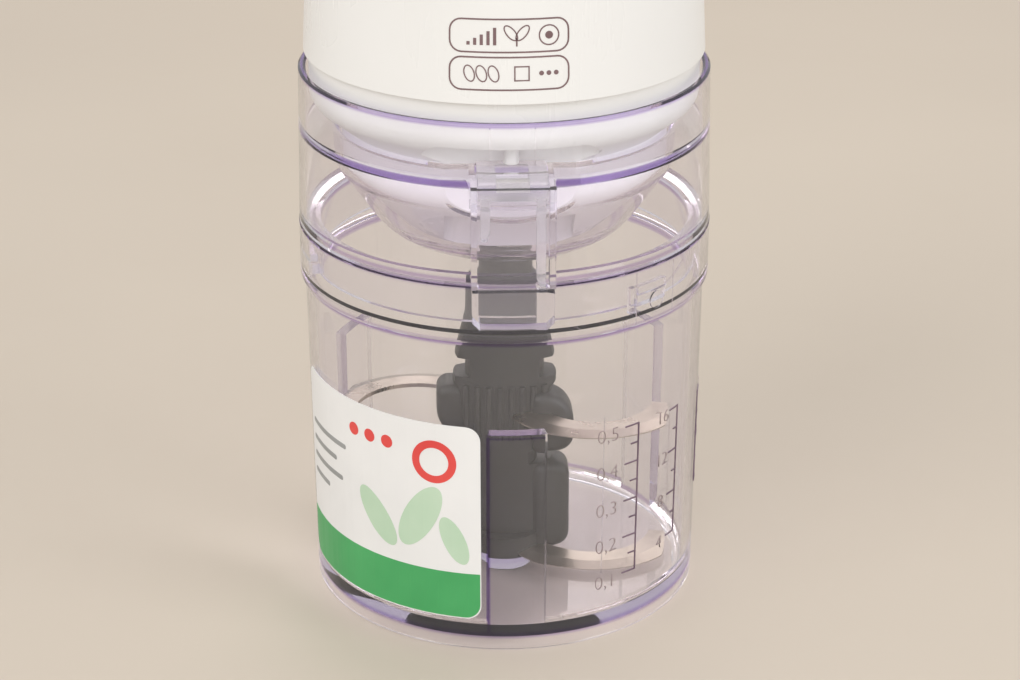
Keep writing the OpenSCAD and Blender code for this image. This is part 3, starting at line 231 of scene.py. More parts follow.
def radiusOf(tree, point):
    # distance from the drive axis
    flat = tree.nodes.new("ShaderNodeVectorMath")
    flat.operation = "MULTIPLY"
    flat.inputs[1].default_value = (1.0, 1.0, 0.0)
    far = tree.nodes.new("ShaderNodeVectorMath")
    far.operation = "LENGTH"
    tree.links.new(point, flat.inputs[0])
    tree.links.new(flat.outputs["Vector"], far.inputs[0])
    return far.outputs["Value"]


def mouldGrainGroup():
    # very fine skin of a moulding, and slow cloudiness
    g, gin, gout = newGroup("mouldGrain", [("Fine", 900.0), ("Cloud", 18.0)], ["Height", "Tone"])
    co = g.nodes.new("ShaderNodeTexCoord")
    for socket, scale, detail in (("Height", "Fine", 3.0), ("Tone", "Cloud", 2.0)):
        n = g.nodes.new("ShaderNodeTexNoise")
        n.inputs["Detail"].default_value = detail
        g.links.new(co.outputs["Object"], n.inputs["Vector"])
        g.links.new(gin.outputs[scale], n.inputs["Scale"])
        g.links.new(n.outputs["Fac"], gout.inputs[socket])
    return g


def rubMarksGroup():
    # hair lines and rubbed patches from handling
    g, gin, gout = newGroup("rubMarks", [("Scale", 160.0), ("Amount", 0.5)], ["Mask"])
    co = g.nodes.new("ShaderNodeTexCoord")
    stretch = g.nodes.new("ShaderNodeMapping")
    stretch.inputs["Scale"].default_value = (1.0, 1.0, 0.09)
    stretch.inputs["Rotation"].default_value = (0.5, 0.3, 0.2)
    n = g.nodes.new("ShaderNodeTexNoise")
    n.inputs["Detail"].default_value = 4.0
    n.inputs["Roughness"].default_value = 0.65
    band = g.nodes.new("ShaderNodeMapRange")
    band.inputs["From Min"].default_value = 0.5
    band.inputs["From Max"].default_value = 0.78
    g.links.new(co.outputs["Object"], stretch.inputs["Vector"])
    g.links.new(stretch.outputs["Vector"], n.inputs["Vector"])
    g.links.new(gin.outputs["Scale"], n.inputs["Scale"])
    g.links.new(n.outputs["Fac"], band.inputs["Value"])
    mask = mathOf(g, "MULTIPLY", band.outputs["Result"], gin.outputs["Amount"])
    g.links.new(mask, gout.inputs["Mask"])
    return g


def turnedLinesGroup():
    # rings left by turning and grinding, all round the drive axis
    g, gin, gout = newGroup("turnedLines", [("Pitch", 2600.0), ("Wander", 40.0)], ["Height", "Tone"])
    co = g.nodes.new("ShaderNodeTexCoord")
    split = g.nodes.new("ShaderNodeSeparateXYZ")
    lines = g.nodes.new("ShaderNodeTexNoise")
    lines.noise_dimensions = "1D"
    lines.inputs["Detail"].default_value = 2.0
    cloud = g.nodes.new("ShaderNodeTexNoise")
    g.links.new(co.outputs["Object"], split.inputs["Vector"])
    along = mathOf(g, "ADD", radiusOf(g, co.outputs["Object"]), split.outputs["Z"])
    g.links.new(along, lines.inputs["W"])
    g.links.new(gin.outputs["Pitch"], lines.inputs["Scale"])
    g.links.new(co.outputs["Object"], cloud.inputs["Vector"])
    g.links.new(gin.outputs["Wander"], cloud.inputs["Scale"])
    g.links.new(lines.outputs["Fac"], gout.inputs["Height"])
    g.links.new(cloud.outputs["Fac"], gout.inputs["Tone"])
    return g


mouldGrain = mouldGrainGroup()
rubMarks = rubMarksGroup()
turnedLines = turnedLinesGroup()
print("surface groups built")


toneEnds = (0.3, 0.7)
maskEnds = (0.25, 0.75)


def startFinish(name):
    mat = bpy.data.materials.new(name)
    mat.use_nodes = True
    return mat, mat.node_tree, mat.node_tree.nodes["Principled BSDF"]


def placeGroup(nt, group, **values):
    n = nt.nodes.new("ShaderNodeGroup")
    n.node_tree = group
    for k, v in values.items():
        n.inputs[k].default_value = v
    return n


def blendColours(nt, fac, low, high, target):
    ramp = nt.nodes.new("ShaderNodeValToRGB")
    for stop, position, colour in zip(ramp.color_ramp.elements, toneEnds, (low, high)):
        stop.position = position
        stop.color = (*colour, 1.0)
    nt.links.new(fac, ramp.inputs["Fac"])
    nt.links.new(ramp.outputs["Color"], target)
    return ramp.outputs["Color"]


def spread(nt, fac, low, high, target):
    r = nt.nodes.new("ShaderNodeMapRange")
    r.inputs["From Min"].default_value, r.inputs["From Max"].default_value = maskEnds
    r.inputs["To Min"].default_value = low
    r.inputs["To Max"].default_value = high
    nt.links.new(fac, r.inputs["Value"])
    nt.links.new(r.outputs["Result"], target)
    return r.outputs["Result"]


def bumpFrom(nt, fac, strength, distance, target):
    b = nt.nodes.new("ShaderNodeBump")
    b.inputs["Strength"].default_value = strength
    b.inputs["Distance"].default_value = distance * mm
    nt.links.new(fac, b.inputs["Height"])
    nt.links.new(b.outputs["Normal"], target)


def plasticFinish(name, look):
    mat, nt, p = startFinish(name)
    grain = placeGroup(nt, mouldGrain, Fine=look["grain"], Cloud=look["cloud"])
    rub = placeGroup(nt, rubMarks, Scale=look["rubScale"], Amount=look["rub"])
    blendColours(nt, grain.outputs["Tone"], look["dark"], look["light"], p.inputs["Base Color"])
    worn = mathOf(nt, "ADD", grain.outputs["Tone"], rub.outputs["Mask"])
    spread(nt, worn, look["roughLow"], look["roughHigh"], p.inputs["Roughness"])
    bumpFrom(nt, grain.outputs["Height"], look["bump"], look["depth"], p.inputs["Normal"])
    p.inputs["IOR"].default_value = 1.5
    return mat


def metalFinish(name, look):
    mat, nt, p = startFinish(name)
    turned = placeGroup(nt, turnedLines, Pitch=look["pitch"], Wander=look["wander"])
    rub = placeGroup(nt, rubMarks, Scale=look["rubScale"], Amount=look["rub"])
    worn = mathOf(nt, "ADD", turned.outputs["Tone"], rub.outputs["Mask"])
    blendColours(nt, worn, look["dark"], look["light"], p.inputs["Base Color"])
    spread(nt, worn, look["roughLow"], look["roughHigh"], p.inputs["Roughness"])
    bumpFrom(nt, turned.outputs["Height"], look["bump"], look["depth"], p.inputs["Normal"])
    p.inputs["Metallic"].default_value = 1.0
    return mat


clearLook = {
    "dark": (0.95, 0.945, 0.965), "light": (0.985, 0.985, 0.99),
    "roughLow": 0.01, "roughHigh": 0.04, "ior": 1.43, "clear": 0.98,
    "grain": 500.0, "cloud": 24.0, "rubScale": 120.0, "rub": 0.35, "bump": 0.08, "depth": 0.4,
    "absorb": (0.6, 0.46, 0.8, 1.0), "density": 9.0, "deepest": 5.5,
    "lampTint": (0.995, 0.994, 0.997, 1.0), "deepTint": (0.96, 0.942, 0.98, 1.0),
    # heights in mm of the thick edges that carry painted dark lavender shade
    "edges": ((3.95, 6.0), (93.0, 94.3), (109.5, 111.0), (137.5, 139.0), (153.6, 154.6)), "soft": 0.08,
    # the tint laid on those bands is painted shade
    "edgeShadeTint": (0.5, 0.38, 0.72, 1.0), "edgeRough": 0.12, "edgeR": 57.9, "top": 160.0,
    # middle and half width in mm of the front baffle's left edge and top edge
    "baffleLeft": ((-6.5, 0.5), (36.0, 30.2)), "baffleTop": ((1.2, 7.8), (65.8, 0.35)), "baffleY": -46.0,
    # the tint laid on both baffle edges is painted shade too
    "baffleShadeTint": (0.4, 0.29, 0.64, 1.0),
}
frostLook = {
    **clearLook, "dark": (0.95, 0.95, 0.96), "light": (0.98, 0.98, 0.985), "roughLow": 0.2, "roughHigh": 0.32,
    "clear": 0.88, "density": 3.0, "edges": (),
}


def spanMask(nt, split, axis, span):
    # one within the span on that axis, given as its middle and half width in mm, and nothing outside
    n = nt.nodes.new("ShaderNodeMath")
    n.operation = "COMPARE"
    n.inputs[1].default_value = span[0] * mm
    n.inputs[2].default_value = span[1] * mm
    nt.links.new(split.outputs[axis], n.inputs[0])
    return n.outputs["Value"]


def mixOf(nt, how, fac, a, b):
    # one mix of colours, each a socket or a plain colour
    n = nt.nodes.new("ShaderNodeMix")
    n.data_type = "RGBA"
    n.blend_type = how
    for i, value in ((0, fac), (6, a), (7, b)):
        if isinstance(value, tuple):
            n.inputs[i].default_value = value
        else:
            nt.links.new(value, n.inputs[i])
    return n.outputs[2]


def shadeBandsByHeight(nt, split, look):
    # a ramp over the height that is white outside the bands of painted shade
    ramp = nt.nodes.new("ShaderNodeValToRGB")
    stops = ramp.color_ramp.elements
    plain, tint = (1.0, 1.0, 1.0, 1.0), look["edgeShadeTint"]
    stops[0].color = stops[1].color = plain
    for low, high in look["edges"]:
        for z, colour in (
            (low - look["soft"], plain), (low, tint), (high, tint), (high + look["soft"], plain),
        ):
            stops.new(z / look["top"]).color = colour
    nt.links.new(mathOf(nt, "DIVIDE", split.outputs["Z"], look["top"] * mm), ramp.inputs["Fac"])
    return ramp.outputs["Color"]


def paintEdgeShade(nt, tone, rough, look, p):
    # painted shade: darker lavender bands by height, where the thick moulding's edges look dark. The lowest
    # is also rough
    co = nt.nodes.new("ShaderNodeTexCoord")
    split = nt.nodes.new("ShaderNodeSeparateXYZ")
    nt.links.new(co.outputs["Object"], split.inputs["Vector"])
    # the latch box stands outside that ring and stays clear
    within = mathOf(nt, "LESS_THAN", radiusOf(nt, co.outputs["Object"]), look["edgeR"] * mm)
    banded = mixOf(nt, "MULTIPLY", within, tone, shadeBandsByHeight(nt, split, look))
    # two edges of the baffle at the front carry the painted shade too
    near = mathOf(nt, "LESS_THAN", split.outputs["Y"], look["baffleY"] * mm)
    sides = []
    for spanX, spanZ in (look["baffleLeft"], look["baffleTop"]):
        here = mathOf(nt, "MULTIPLY", spanMask(nt, split, "X", spanX), spanMask(nt, split, "Z", spanZ))
        sides.append(mathOf(nt, "MULTIPLY", here, near))
    gathered = mixOf(nt, "MULTIPLY", mathOf(nt, "MAXIMUM", *sides), banded, look["baffleShadeTint"])
    nt.links.new(gathered, p.inputs["Base Color"])
    low, high = look["edges"][0]
    foot = spanMask(nt, split, "Z", ((low + high) / 2, (high - low) / 2))
    rougher = mathOf(nt, "ADD", mathOf(nt, "MULTIPLY", foot, look["edgeRough"]), rough)
    nt.links.new(rougher, p.inputs["Roughness"])


def clearFinish(name, look):
    mat, nt, p = startFinish(name)
    out = nt.nodes["Material Output"]
    grain = placeGroup(nt, mouldGrain, Fine=look["grain"], Cloud=look["cloud"])
    rub = placeGroup(nt, rubMarks, Scale=look["rubScale"], Amount=look["rub"])
    tone = blendColours(nt, grain.outputs["Tone"], look["dark"], look["light"], p.inputs["Base Color"])
    rough = spread(nt, rub.outputs["Mask"], look["roughLow"], look["roughHigh"], p.inputs["Roughness"])
    if look["edges"]:
        paintEdgeShade(nt, tone, rough, look, p)
    bumpFrom(nt, grain.outputs["Tone"], look["bump"], look["depth"], p.inputs["Normal"])
    p.inputs["IOR"].default_value = look["ior"]
    p.inputs["Transmission Weight"].default_value = look["clear"]
    # lamps reach what is inside, and light caught in a wall comes out tinted
    clear = nt.nodes.new("ShaderNodeBsdfTransparent")
    path = nt.nodes.new("ShaderNodeLightPath")
    tints = mixOf(nt, "MIX", path.outputs["Is Shadow Ray"], look["deepTint"], look["lampTint"])
    nt.links.new(tints, clear.inputs["Color"])
    caught = mathOf(nt, "GREATER_THAN", path.outputs["Ray Depth"], look["deepest"])
    mix = nt.nodes.new("ShaderNodeMixShader")
    nt.links.new(mathOf(nt, "MAXIMUM", path.outputs["Is Shadow Ray"], caught), mix.inputs[0])
    nt.links.new(p.outputs["BSDF"], mix.inputs[1])
    nt.links.new(clear.outputs["BSDF"], mix.inputs[2])
    nt.links.new(mix.outputs["Shader"], out.inputs["Surface"])
    # the lavender tint gathers where light runs along the wall
    tint = nt.nodes.new("ShaderNodeVolumeAbsorption")
    tint.inputs["Color"].default_value = look["absorb"]
    tint.inputs["Density"].default_value = look["density"]
    nt.links.new(tint.outputs["Volume"], out.inputs["Volume"])
    return mat


looks = {
    "white": {"dark": (0.83, 0.83, 0.815), "light": (0.87, 0.87, 0.86),
              "roughLow": 0.22, "roughHigh": 0.34,
              "grain": 1400.0, "cloud": 14.0, "rubScale": 140.0, "rub": 0.25, "bump": 0.05, "depth": 0.05},
    "button": {"dark": (0.78, 0.78, 0.77), "light": (0.82, 0.82, 0.81),
               "roughLow": 0.3, "roughHigh": 0.45,
               "grain": 1200.0, "cloud": 20.0, "rubScale": 120.0, "rub": 0.4, "bump": 0.12, "depth": 0.06},
    "dark": {"dark": (0.027, 0.026, 0.0235), "light": (0.041, 0.039, 0.0365),
             "roughLow": 0.34, "roughHigh": 0.5,
             "grain": 1500.0, "cloud": 40.0, "rubScale": 200.0, "rub": 0.5, "bump": 0.25, "depth": 0.05},
    "black": {"dark": (0.014, 0.014, 0.015), "light": (0.024, 0.024, 0.026),
              "roughLow": 0.4, "roughHigh": 0.55,
              "grain": 1500.0, "cloud": 50.0, "rubScale": 240.0, "rub": 0.3, "bump": 0.2, "depth": 0.05},
    "gear": {"dark": (0.7, 0.68, 0.6), "light": (0.78, 0.765, 0.69),
             "roughLow": 0.35, "roughHigh": 0.5,
             "grain": 1500.0, "cloud": 60.0, "rubScale": 240.0, "rub": 0.4, "bump": 0.1, "depth": 0.05},
    # the warm tint in the blade's colours is a painted reflection; the metal itself is plain steel
    "blade": {"dark": (0.44, 0.38, 0.33), "light": (0.58, 0.51, 0.45),
              "roughLow": 0.22, "roughHigh": 0.36,
              "pitch": 3200.0, "wander": 60.0, "rubScale": 420.0, "rub": 0.35, "bump": 0.1, "depth": 0.02},
    "steel": {"dark": (0.45, 0.455, 0.47), "light": (0.6, 0.605, 0.62),
              "roughLow": 0.2, "roughHigh": 0.34,
              "pitch": 2600.0, "wander": 80.0, "rubScale": 300.0, "rub": 0.3, "bump": 0.12, "depth": 0.02},
    "bronze": {"dark": (0.4, 0.24, 0.09), "light": (0.55, 0.36, 0.15),
               "roughLow": 0.28, "roughHigh": 0.45,
               "pitch": 1800.0, "wander": 120.0, "rubScale": 260.0, "rub": 0.4, "bump": 0.15, "depth": 0.02},
    "core": {"dark": (0.11, 0.112, 0.12), "light": (0.2, 0.2, 0.21),
             "roughLow": 0.38, "roughHigh": 0.55,
             "pitch": 2000.0, "wander": 60.0, "rubScale": 200.0, "rub": 0.3, "bump": 0.6, "depth": 0.08},
    "copper": {"dark": (0.36, 0.11, 0.035), "light": (0.6, 0.22, 0.08),
               "roughLow": 0.25, "roughHigh": 0.42,
               "pitch": 1500.0, "wander": 150.0, "rubScale": 260.0, "rub": 0.3, "bump": 0.7, "depth": 0.12},
    "casting": {"dark": (0.36, 0.365, 0.38), "light": (0.48, 0.485, 0.5),
                "roughLow": 0.42, "roughHigh": 0.6,
                "pitch": 900.0, "wander": 200.0, "rubScale": 220.0, "rub": 0.3, "bump": 0.2, "depth": 0.05},
}

clearPlastic = clearFinish("clear_plastic_lavender", clearLook)
frostPlastic = clearFinish("frosted_latch", frostLook)
whitePlastic = plasticFinish("white_housing", looks["white"])
buttonPlastic = plasticFinish("white_button", looks["button"])
darkPlastic = plasticFinish("dark_stem", looks["dark"])
blackPlastic = plasticFinish("black_inner", looks["black"])
gearPlastic = plasticFinish("acetal_gear", looks["gear"])
# blade steel with a painted warm reflection in its colour
bladeSteelWarmReflection = metalFinish("blade_steel", looks["blade"])
plainSteel = metalFinish("turned_steel", looks["steel"])
bearingBronze = metalFinish("bearing_bronze", looks["bronze"])
coreSteel = metalFinish("core_laminations", looks["core"])
copperWire = metalFinish("copper_wire", looks["copper"])
dieCast = metalFinish("die_casting", looks["casting"])

dressing = {
    "bowl": clearPlastic, "lid": clearPlastic, "interlock_slider": frostPlastic,
    "lower_housing": whitePlastic, "upper_housing": whitePlastic, "cord_gland": buttonPlastic,
    "press_button": buttonPlastic, "interlock_pin": buttonPlastic,
    "blade_stem": darkPlastic, "drive_coupling": darkPlastic,
    "upper_blade": bladeSteelWarmReflection, "lower_blade": bladeSteelWarmReflection,
    "bowl_spindle": plainSteel, "motor_shaft": plainSteel, "output_shaft": plainSteel,
    "planet_pins": plainSteel, "planet_carrier": plainSteel, "sun_gear": plainSteel,
    "housing_screws": plainSteel, "base_screws": plainSteel, "motor_screws": plainSteel,
    "button_spring": plainSteel,
    "stem_bush": bearingBronze, "lower_bearing": bearingBronze, "upper_bearing": bearingBronze,
    "output_bush": bearingBronze, "brush_holders": bearingBronze,
    "stator_core": coreSteel, "armature_core": coreSteel,
    "field_coils": copperWire, "armature_windings": copperWire, "commutator": copperWire,
    "motor_base": dieCast, "upper_bracket": dieCast,
    "ring_gear": gearPlastic, "planet_gear_1": gearPlastic, "planet_gear_2": gearPlastic,
    "planet_gear_3": gearPlastic,
    "cooling_fan": blackPlastic, "start_switch": blackPlastic, "interlock_switch": blackPlastic,
    "carbon_brushes": blackPlastic,
}
for name, mat in dressing.items():
    paint(nodes[name], mat)
print("nodes dressed:", len(dressing), "of", len(nodes))


# dark stem with a flattened grip and lobes at the blade roots, in the room of the stem's node

stemShape = {
    "cutZ": 79.5, "frontY": 7.5, "frontR": 30.0, "sides": 96,
    "profile": ((14.6, 6.8), (14.6, 34.65), (14.1, 35.15), (9.4, 35.15), (9.4, 39.0), (12.4, 42.0),
                (13.8, 57.8), (14.9, 59.3), (14.9, 61.3), (14.6, 61.6), (11.4, 61.6), (11.4, 67.4),
                (14.2, 67.4), (14.4, 67.7), (14.0, 69.5), (11.5, 79.6)),
    "foot": ((11.6, 6.8), (11.6, 13.15)),
    "bore": ((7.2, 6.0), (7.2, 12.55), (5.05, 12.55), (5.05, 30.55), (4.0, 30.55), (4.0, 59.2)),
    # each lobe's turn, reach, lowest, highest, nearest and farthest side,
    # and its rounding at the top, at the foot and of all edges
    "lobes": ((0, 19.8, 38.6, 56.8, -8.6, 3.6, 9.0, 5.0, 2.6),
              (180, 19.8, 40.9, 58.2, -8.0, 4.2, 3.6, 9.5, 2.6),
              (0, 18.7, 7.0, 34.9, -7.6, 4.2, 4.6, 4.6, 2.8),
              (180, 18.7, 7.0, 34.9, -7.6, 4.2, 4.6, 4.6, 2.8)),
    "inner": 7.6, "roundSteps": 8, "edgeSteps": 5, "edgeAngle": 50, "hair": 0.1,
    "ribs": 8, "ribR": 0.9, "ribSides": 16, "ribSpan": 22.4, "ribLow": 43.5, "ribHigh": 59.28,
    "smooth": 24,
}
copyWeld = 0.002


def copyNode(node, name):
    # a merged copy of a node's mesh, without the normals it came with
    obj = bpy.data.objects.new(name, nodes[node].data.copy())
    bpy.context.scene.collection.objects.link(obj)
    pick(obj)
    bpy.ops.mesh.customdata_custom_splitnormals_clear()
    editAll()
    bpy.ops.mesh.remove_doubles(threshold=copyWeld * mm)
    endEdit()
    return obj


def turnedSolid(profile, sides):
    # one disc, pulled up and widened step by step
    clearSelection()
    r, z = profile[0]
    bpy.ops.mesh.primitive_circle_add(
        vertices=sides, radius=r * mm, fill_type="NGON", location=(0, 0, z * mm),
    )
    obj = bpy.context.object
    settle()
    editAll()
    for nextR, nextZ in profile[1:]:
        bpy.ops.mesh.extrude_region_move(TRANSFORM_OT_translate={"value": (0, 0, (nextZ - z) * mm)})
        bpy.ops.transform.resize(value=(nextR / r, nextR / r, 1), center_override=(0, 0, nextZ * mm))
        r, z = nextR, nextZ
    bpy.ops.mesh.select_all(action="SELECT")
    bpy.ops.mesh.normals_make_consistent(inside=False)
    endEdit()
    return obj


def combine(obj, other, how):
    pick(obj)
    step = obj.modifiers.new("combine", "BOOLEAN")
    step.operation = how
    step.solver = "EXACT"
    step.object = other
    applyAll(obj)
    pick(other)
    bpy.ops.object.delete()


def addBlock(x0, x1, y0, y1, z0, z1):
    clearSelection()
    middle = Vector((x0 + x1, y0 + y1, z0 + z1)) * mm / 2
    bpy.ops.mesh.primitive_cube_add(size=1, location=middle)
    block = bpy.context.object
    block.scale = Vector((x1 - x0, y1 - y0, z1 - z0)) * mm
    settle()
    return block


def roundOuter(obj, s, reach, z, offset):
    # rounds the outer edge that lies at this height
    bpy.ops.object.mode_set(mode="EDIT")
    bpy.ops.mesh.select_mode(type="EDGE")
    bpy.ops.mesh.select_all(action="DESELECT")
    endEdit()
    hair = s["hair"] * mm
    for e in obj.data.edges:
        ends = [obj.data.vertices[i].co for i in e.vertices]
        e.select = all(p.x > reach * mm - hair and abs(p.z - z * mm) < hair for p in ends)
    bpy.ops.object.mode_set(mode="EDIT")
    bpy.ops.mesh.bevel(offset=offset * mm, segments=s["roundSteps"], affect="EDGES")
    endEdit()


def buildLobe(s, turn, reach, low, high, near, far, topRound, footRound, edge):
    lobe = addBlock(s["inner"], reach, near, far, low, high)
    roundOuter(lobe, s, reach, high, topRound)
    roundOuter(lobe, s, reach, low, footRound)
    soft = lobe.modifiers.new("soft", "BEVEL")
    soft.width = edge * mm
    soft.segments = s["edgeSteps"]
    soft.limit_method = "ANGLE"
    soft.angle_limit = math.radians(s["edgeAngle"])
    applyAll(lobe)
    lobe.rotation_euler = (0, 0, math.radians(turn))
    settle()
    return lobe


def buildRib(s, side, x):
    rib = turnedSolid(((s["ribR"], s["ribLow"]), (s["ribR"], s["ribHigh"])), s["ribSides"])
    y = s["frontY"] - s["frontR"] + math.sqrt(s["frontR"] ** 2 - x ** 2)
    rib.location = (x * mm, side * y * mm, 0)
    settle()
    return rib


def buildStem(s):
    # the top is a copy of the node, and what is below it is made anew
    stem = copyNode("blade_stem", "stem_moulding")
    editAll()
    bpy.ops.mesh.bisect(plane_co=(0, 0, s["cutZ"] * mm), plane_no=(0, 0, 1), clear_inner=True, use_fill=True)
    endEdit()
    clearSelection()
    grip = turnedSolid(s["profile"], s["sides"])
    for side in (-1, 1):
        front = turnedSolid(((s["frontR"], 0), (s["frontR"], s["cutZ"] + 1)), 2 * s["sides"])
        front.location = (0, side * (s["frontR"] - s["frontY"]) * mm, 0)
        settle()
        combine(grip, front, "INTERSECT")
    combine(grip, turnedSolid(s["bore"], s["sides"]), "DIFFERENCE")
    foot = turnedSolid(s["foot"], s["sides"])
    combine(foot, turnedSolid(s["bore"], s["sides"]), "DIFFERENCE")
    shells = [stem, grip, foot]
    for lobe in s["lobes"]:
        shells.append(buildLobe(s, *lobe))
    for side in (-1, 1):
        for i in range(s["ribs"]):
            shells.append(buildRib(s, side, (i / (s["ribs"] - 1) - 0.5) * s["ribSpan"]))
    joinPieces(shells, "stem_moulding")
    bpy.ops.object.shade_smooth_by_angle(angle=math.radians(s["smooth"]))
    return stem


stem = buildStem(stemShape)
paint(stem, darkPlastic)
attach(stem, "blade")
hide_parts("blade_stem")
print("stem moulded:", len(stem.data.polygons), "faces")


# return spring under the button

springShape = {"fixedZ": 239.9, "travel": 3.55, "smooth": 40}
spring = copyNode("button_spring", "return_spring")
bpy.ops.object.shade_smooth_by_angle(angle=math.radians(springShape["smooth"]))
paint(spring, plainSteel)
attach(spring, "head")
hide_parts("button_spring")
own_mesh(spring)


# litre, ounce and cup scales moulded on the bowl's wall, with plain numbers

scaleMarks = {
    "wallR": 55.75, "line": 0.4, "rise": 0.3, "thinner": 0.15, "lay": -0.05, "steps": 3,
    "rows": {
        "litre": {"az": 38.7, "low": 19.0, "step": 5.665, "ticks": 9, "tick": 4.7, "half": 2.6, "size": 4.2,
                  "gap": 5.6, "drop": 1.3, "side": -1, "numbers": ("0,1", "0,2", "0,3", "0,4", "0,5")},
        "ounce": {"az": 57.0, "low": 24.0, "step": 6.55, "ticks": 7, "tick": 4.2, "half": 2.0, "size": 4.0,
                  "gap": 3.2, "drop": 1.0, "side": -1, "numbers": ("4", "8", "12", "16")},
        "cup": {"az": 78.5, "low": 30.0, "step": 7.2, "ticks": 5, "tick": 4.0, "half": 2.0, "size": 4.0,
                "gap": 3.4, "drop": 1.0, "side": 1, "numbers": ("1", "1,5", "2")},
    },
}
# the scales are clear moulded relief; the dark mauve and brown given to ridges and numbers is painted shade
# of that relief
ridgeLook = {"roughLow": 0.2, "roughHigh": 0.35, "grain": 1500.0, "cloud": 90.0,
             "rubScale": 300.0, "rub": 0.3, "bump": 0.1, "depth": 0.04}
scaleRidgeShade = plasticFinish(
    "scale_ridges_painted_shade", {**ridgeLook, "dark": (0.13, 0.085, 0.12), "light": (0.2, 0.135, 0.175)},
)
scaleNumberShade = plasticFinish(
    "scale_numbers_painted_shade", {**ridgeLook, "dark": (0.3, 0.235, 0.235), "light": (0.4, 0.32, 0.31)},
)


def buildScale(name, row, s):
    top = row["low"] + (row["ticks"] - 1) * row["step"]
    lines = [flatPlate(0, (row["low"] + top) / 2, s["line"], top - row["low"] + s["line"])]
    numbers = []
    for i in range(row["ticks"]):
        z = row["low"] + i * row["step"]
        run = row["half"] if i % 2 else row["tick"]
        lines.append(flatPlate(row["side"] * run / 2, z, run, s["line"], steps=s["steps"]))
        if i % 2 == 0:
            x = row["side"] * (row["tick"] + row["gap"])
            numbers.append(flatText(row["numbers"][i // 2], x, z - row["drop"], row["size"], s["thinner"]))
    done = []
    for pieces, part, finish in ((lines, "lines", scaleRidgeShade), (numbers, "numbers", scaleNumberShade)):
        piece = joinPieces(pieces, "scale_" + name + "_" + part)
        wrapOn(piece, "bowl", s["wallR"], row["az"], s["lay"], s["rise"])
        done.append((piece, finish))
    return done


for name, row in scaleMarks["rows"].items():
    for piece, finish in buildScale(name, row, scaleMarks):
        paint(piece, finish)
        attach(piece, "bowl")
print("scales wrapped")


# paper label on the bowl's left, with a plain design of its own

label = {
    "wallR": 55.7, "facing": -44.6, "low": 10.0, "high": 69.0, "width": 69.6, "corner": 4.2, "steps": 40,
    "bandTop": 24.2, "bandIn": 0.6, "lift": 0.1, "sheet": 0.1, "ink": 0.04, "inkGap": 0.02,
    # each leaf's distance from the right end, height, length and turn
    "leaves": ((31.5, 36.5, 9.5, 38), (17.5, 40, 11, -30), (7.5, 34, 7.6, 24)),
    "leaf": {"sides": 48, "stretch": 0.42, "steps": 12},
    "ring": {"x": 13, "z": 57.5, "r": 6.4, "sides": 56, "line": 2.2, "steps": 12},
    "dots": {"count": 3, "x": 27.5, "pitch": 6.2, "z": 60.5, "r": 1.9, "sides": 28, "steps": 5},
    "rules": {"long": (22, 17, 20, 12), "x": 66, "z": 53, "pitch": 5.2, "high": 1.5,
              "corner": 0.7, "steps": 8},
}


def buildBand(s, mid):
    band = flatPlate(
        0, mid, s["width"] - s["bandIn"], s["high"] - s["low"] - s["bandIn"], s["corner"], s["steps"],
    )
    pick(band)
    editAll()
    bpy.ops.mesh.bisect(plane_co=(0, 0, s["bandTop"] * mm), plane_no=(0, 0, 1), clear_outer=True)
    endEdit()
    band.name = "label_band"
    return band


def buildLabel(s):
    half = s["width"] / 2
    mid = (s["low"] + s["high"]) / 2
    sheet = flatPlate(0, mid, s["width"], s["high"] - s["low"], s["corner"], s["steps"])
    sheet.name = "label_sheet"
    wrapOn(sheet, "bowl", s["wallR"], s["facing"], s["lift"], s["sheet"])
    band = buildBand(s, mid)
    # pale leaf shapes rising from the band
    leaf = s["leaf"]
    leaves = []
    for x, z, r, turn in s["leaves"]:
        leaves.append(flatDisc(half - x, z, r, leaf["sides"], leaf["stretch"], turn, leaf["steps"]))
    # one red ring and a row of dots
    ring, dot = s["ring"], s["dots"]
    disc = flatDisc(half - ring["x"], ring["z"], ring["r"], ring["sides"])
    rings = [sliceUp(hollow(disc, ring["line"]), ring["steps"])]
    for i in range(dot["count"]):
        x = half - dot["x"] - i * dot["pitch"]
        rings.append(flatDisc(x, dot["z"], dot["r"], dot["sides"], steps=dot["steps"]))
    # plain grey rules on the left part
    rule = s["rules"]
    rules = []
    for i, w in enumerate(rule["long"]):
        x, z = half - rule["x"] + w / 2, rule["z"] - i * rule["pitch"]
        rules.append(flatPlate(x, z, w, rule["high"], rule["corner"], rule["steps"]))
    inks = [
        band, joinPieces(leaves, "label_leaves"), joinPieces(rings, "label_dots"),
        joinPieces(rules, "label_rules"),
    ]
    for ink in inks:
        wrapOn(ink, "bowl", s["wallR"], s["facing"], s["lift"] + s["sheet"] + s["inkGap"], s["ink"])
    return sheet, *inks


labelInk = {"roughLow": 0.35, "roughHigh": 0.5, "grain": 2200.0, "cloud": 60.0, "rubScale": 260.0, "rub": 0.3,
            "bump": 0.15, "depth": 0.03}
labelFinishes = {
    "sheet": {"dark": (0.83, 0.835, 0.835), "light": (0.87, 0.872, 0.87)},
    "band": {"dark": (0.055, 0.37, 0.115), "light": (0.075, 0.43, 0.14)},
    "leaf": {"dark": (0.5, 0.68, 0.5), "light": (0.58, 0.74, 0.57)},
    "dots": {"dark": (0.72, 0.06, 0.055), "light": (0.8, 0.085, 0.075)},
    "rule": {"dark": (0.3, 0.31, 0.31), "light": (0.36, 0.37, 0.37)},
}
for piece, key in zip(buildLabel(label), labelFinishes):
    paint(piece, plasticFinish("label_" + key, {**labelInk, **labelFinishes[key]}))
    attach(piece, "bowl")
print("label laid on")


# two printed panels on the front of the head

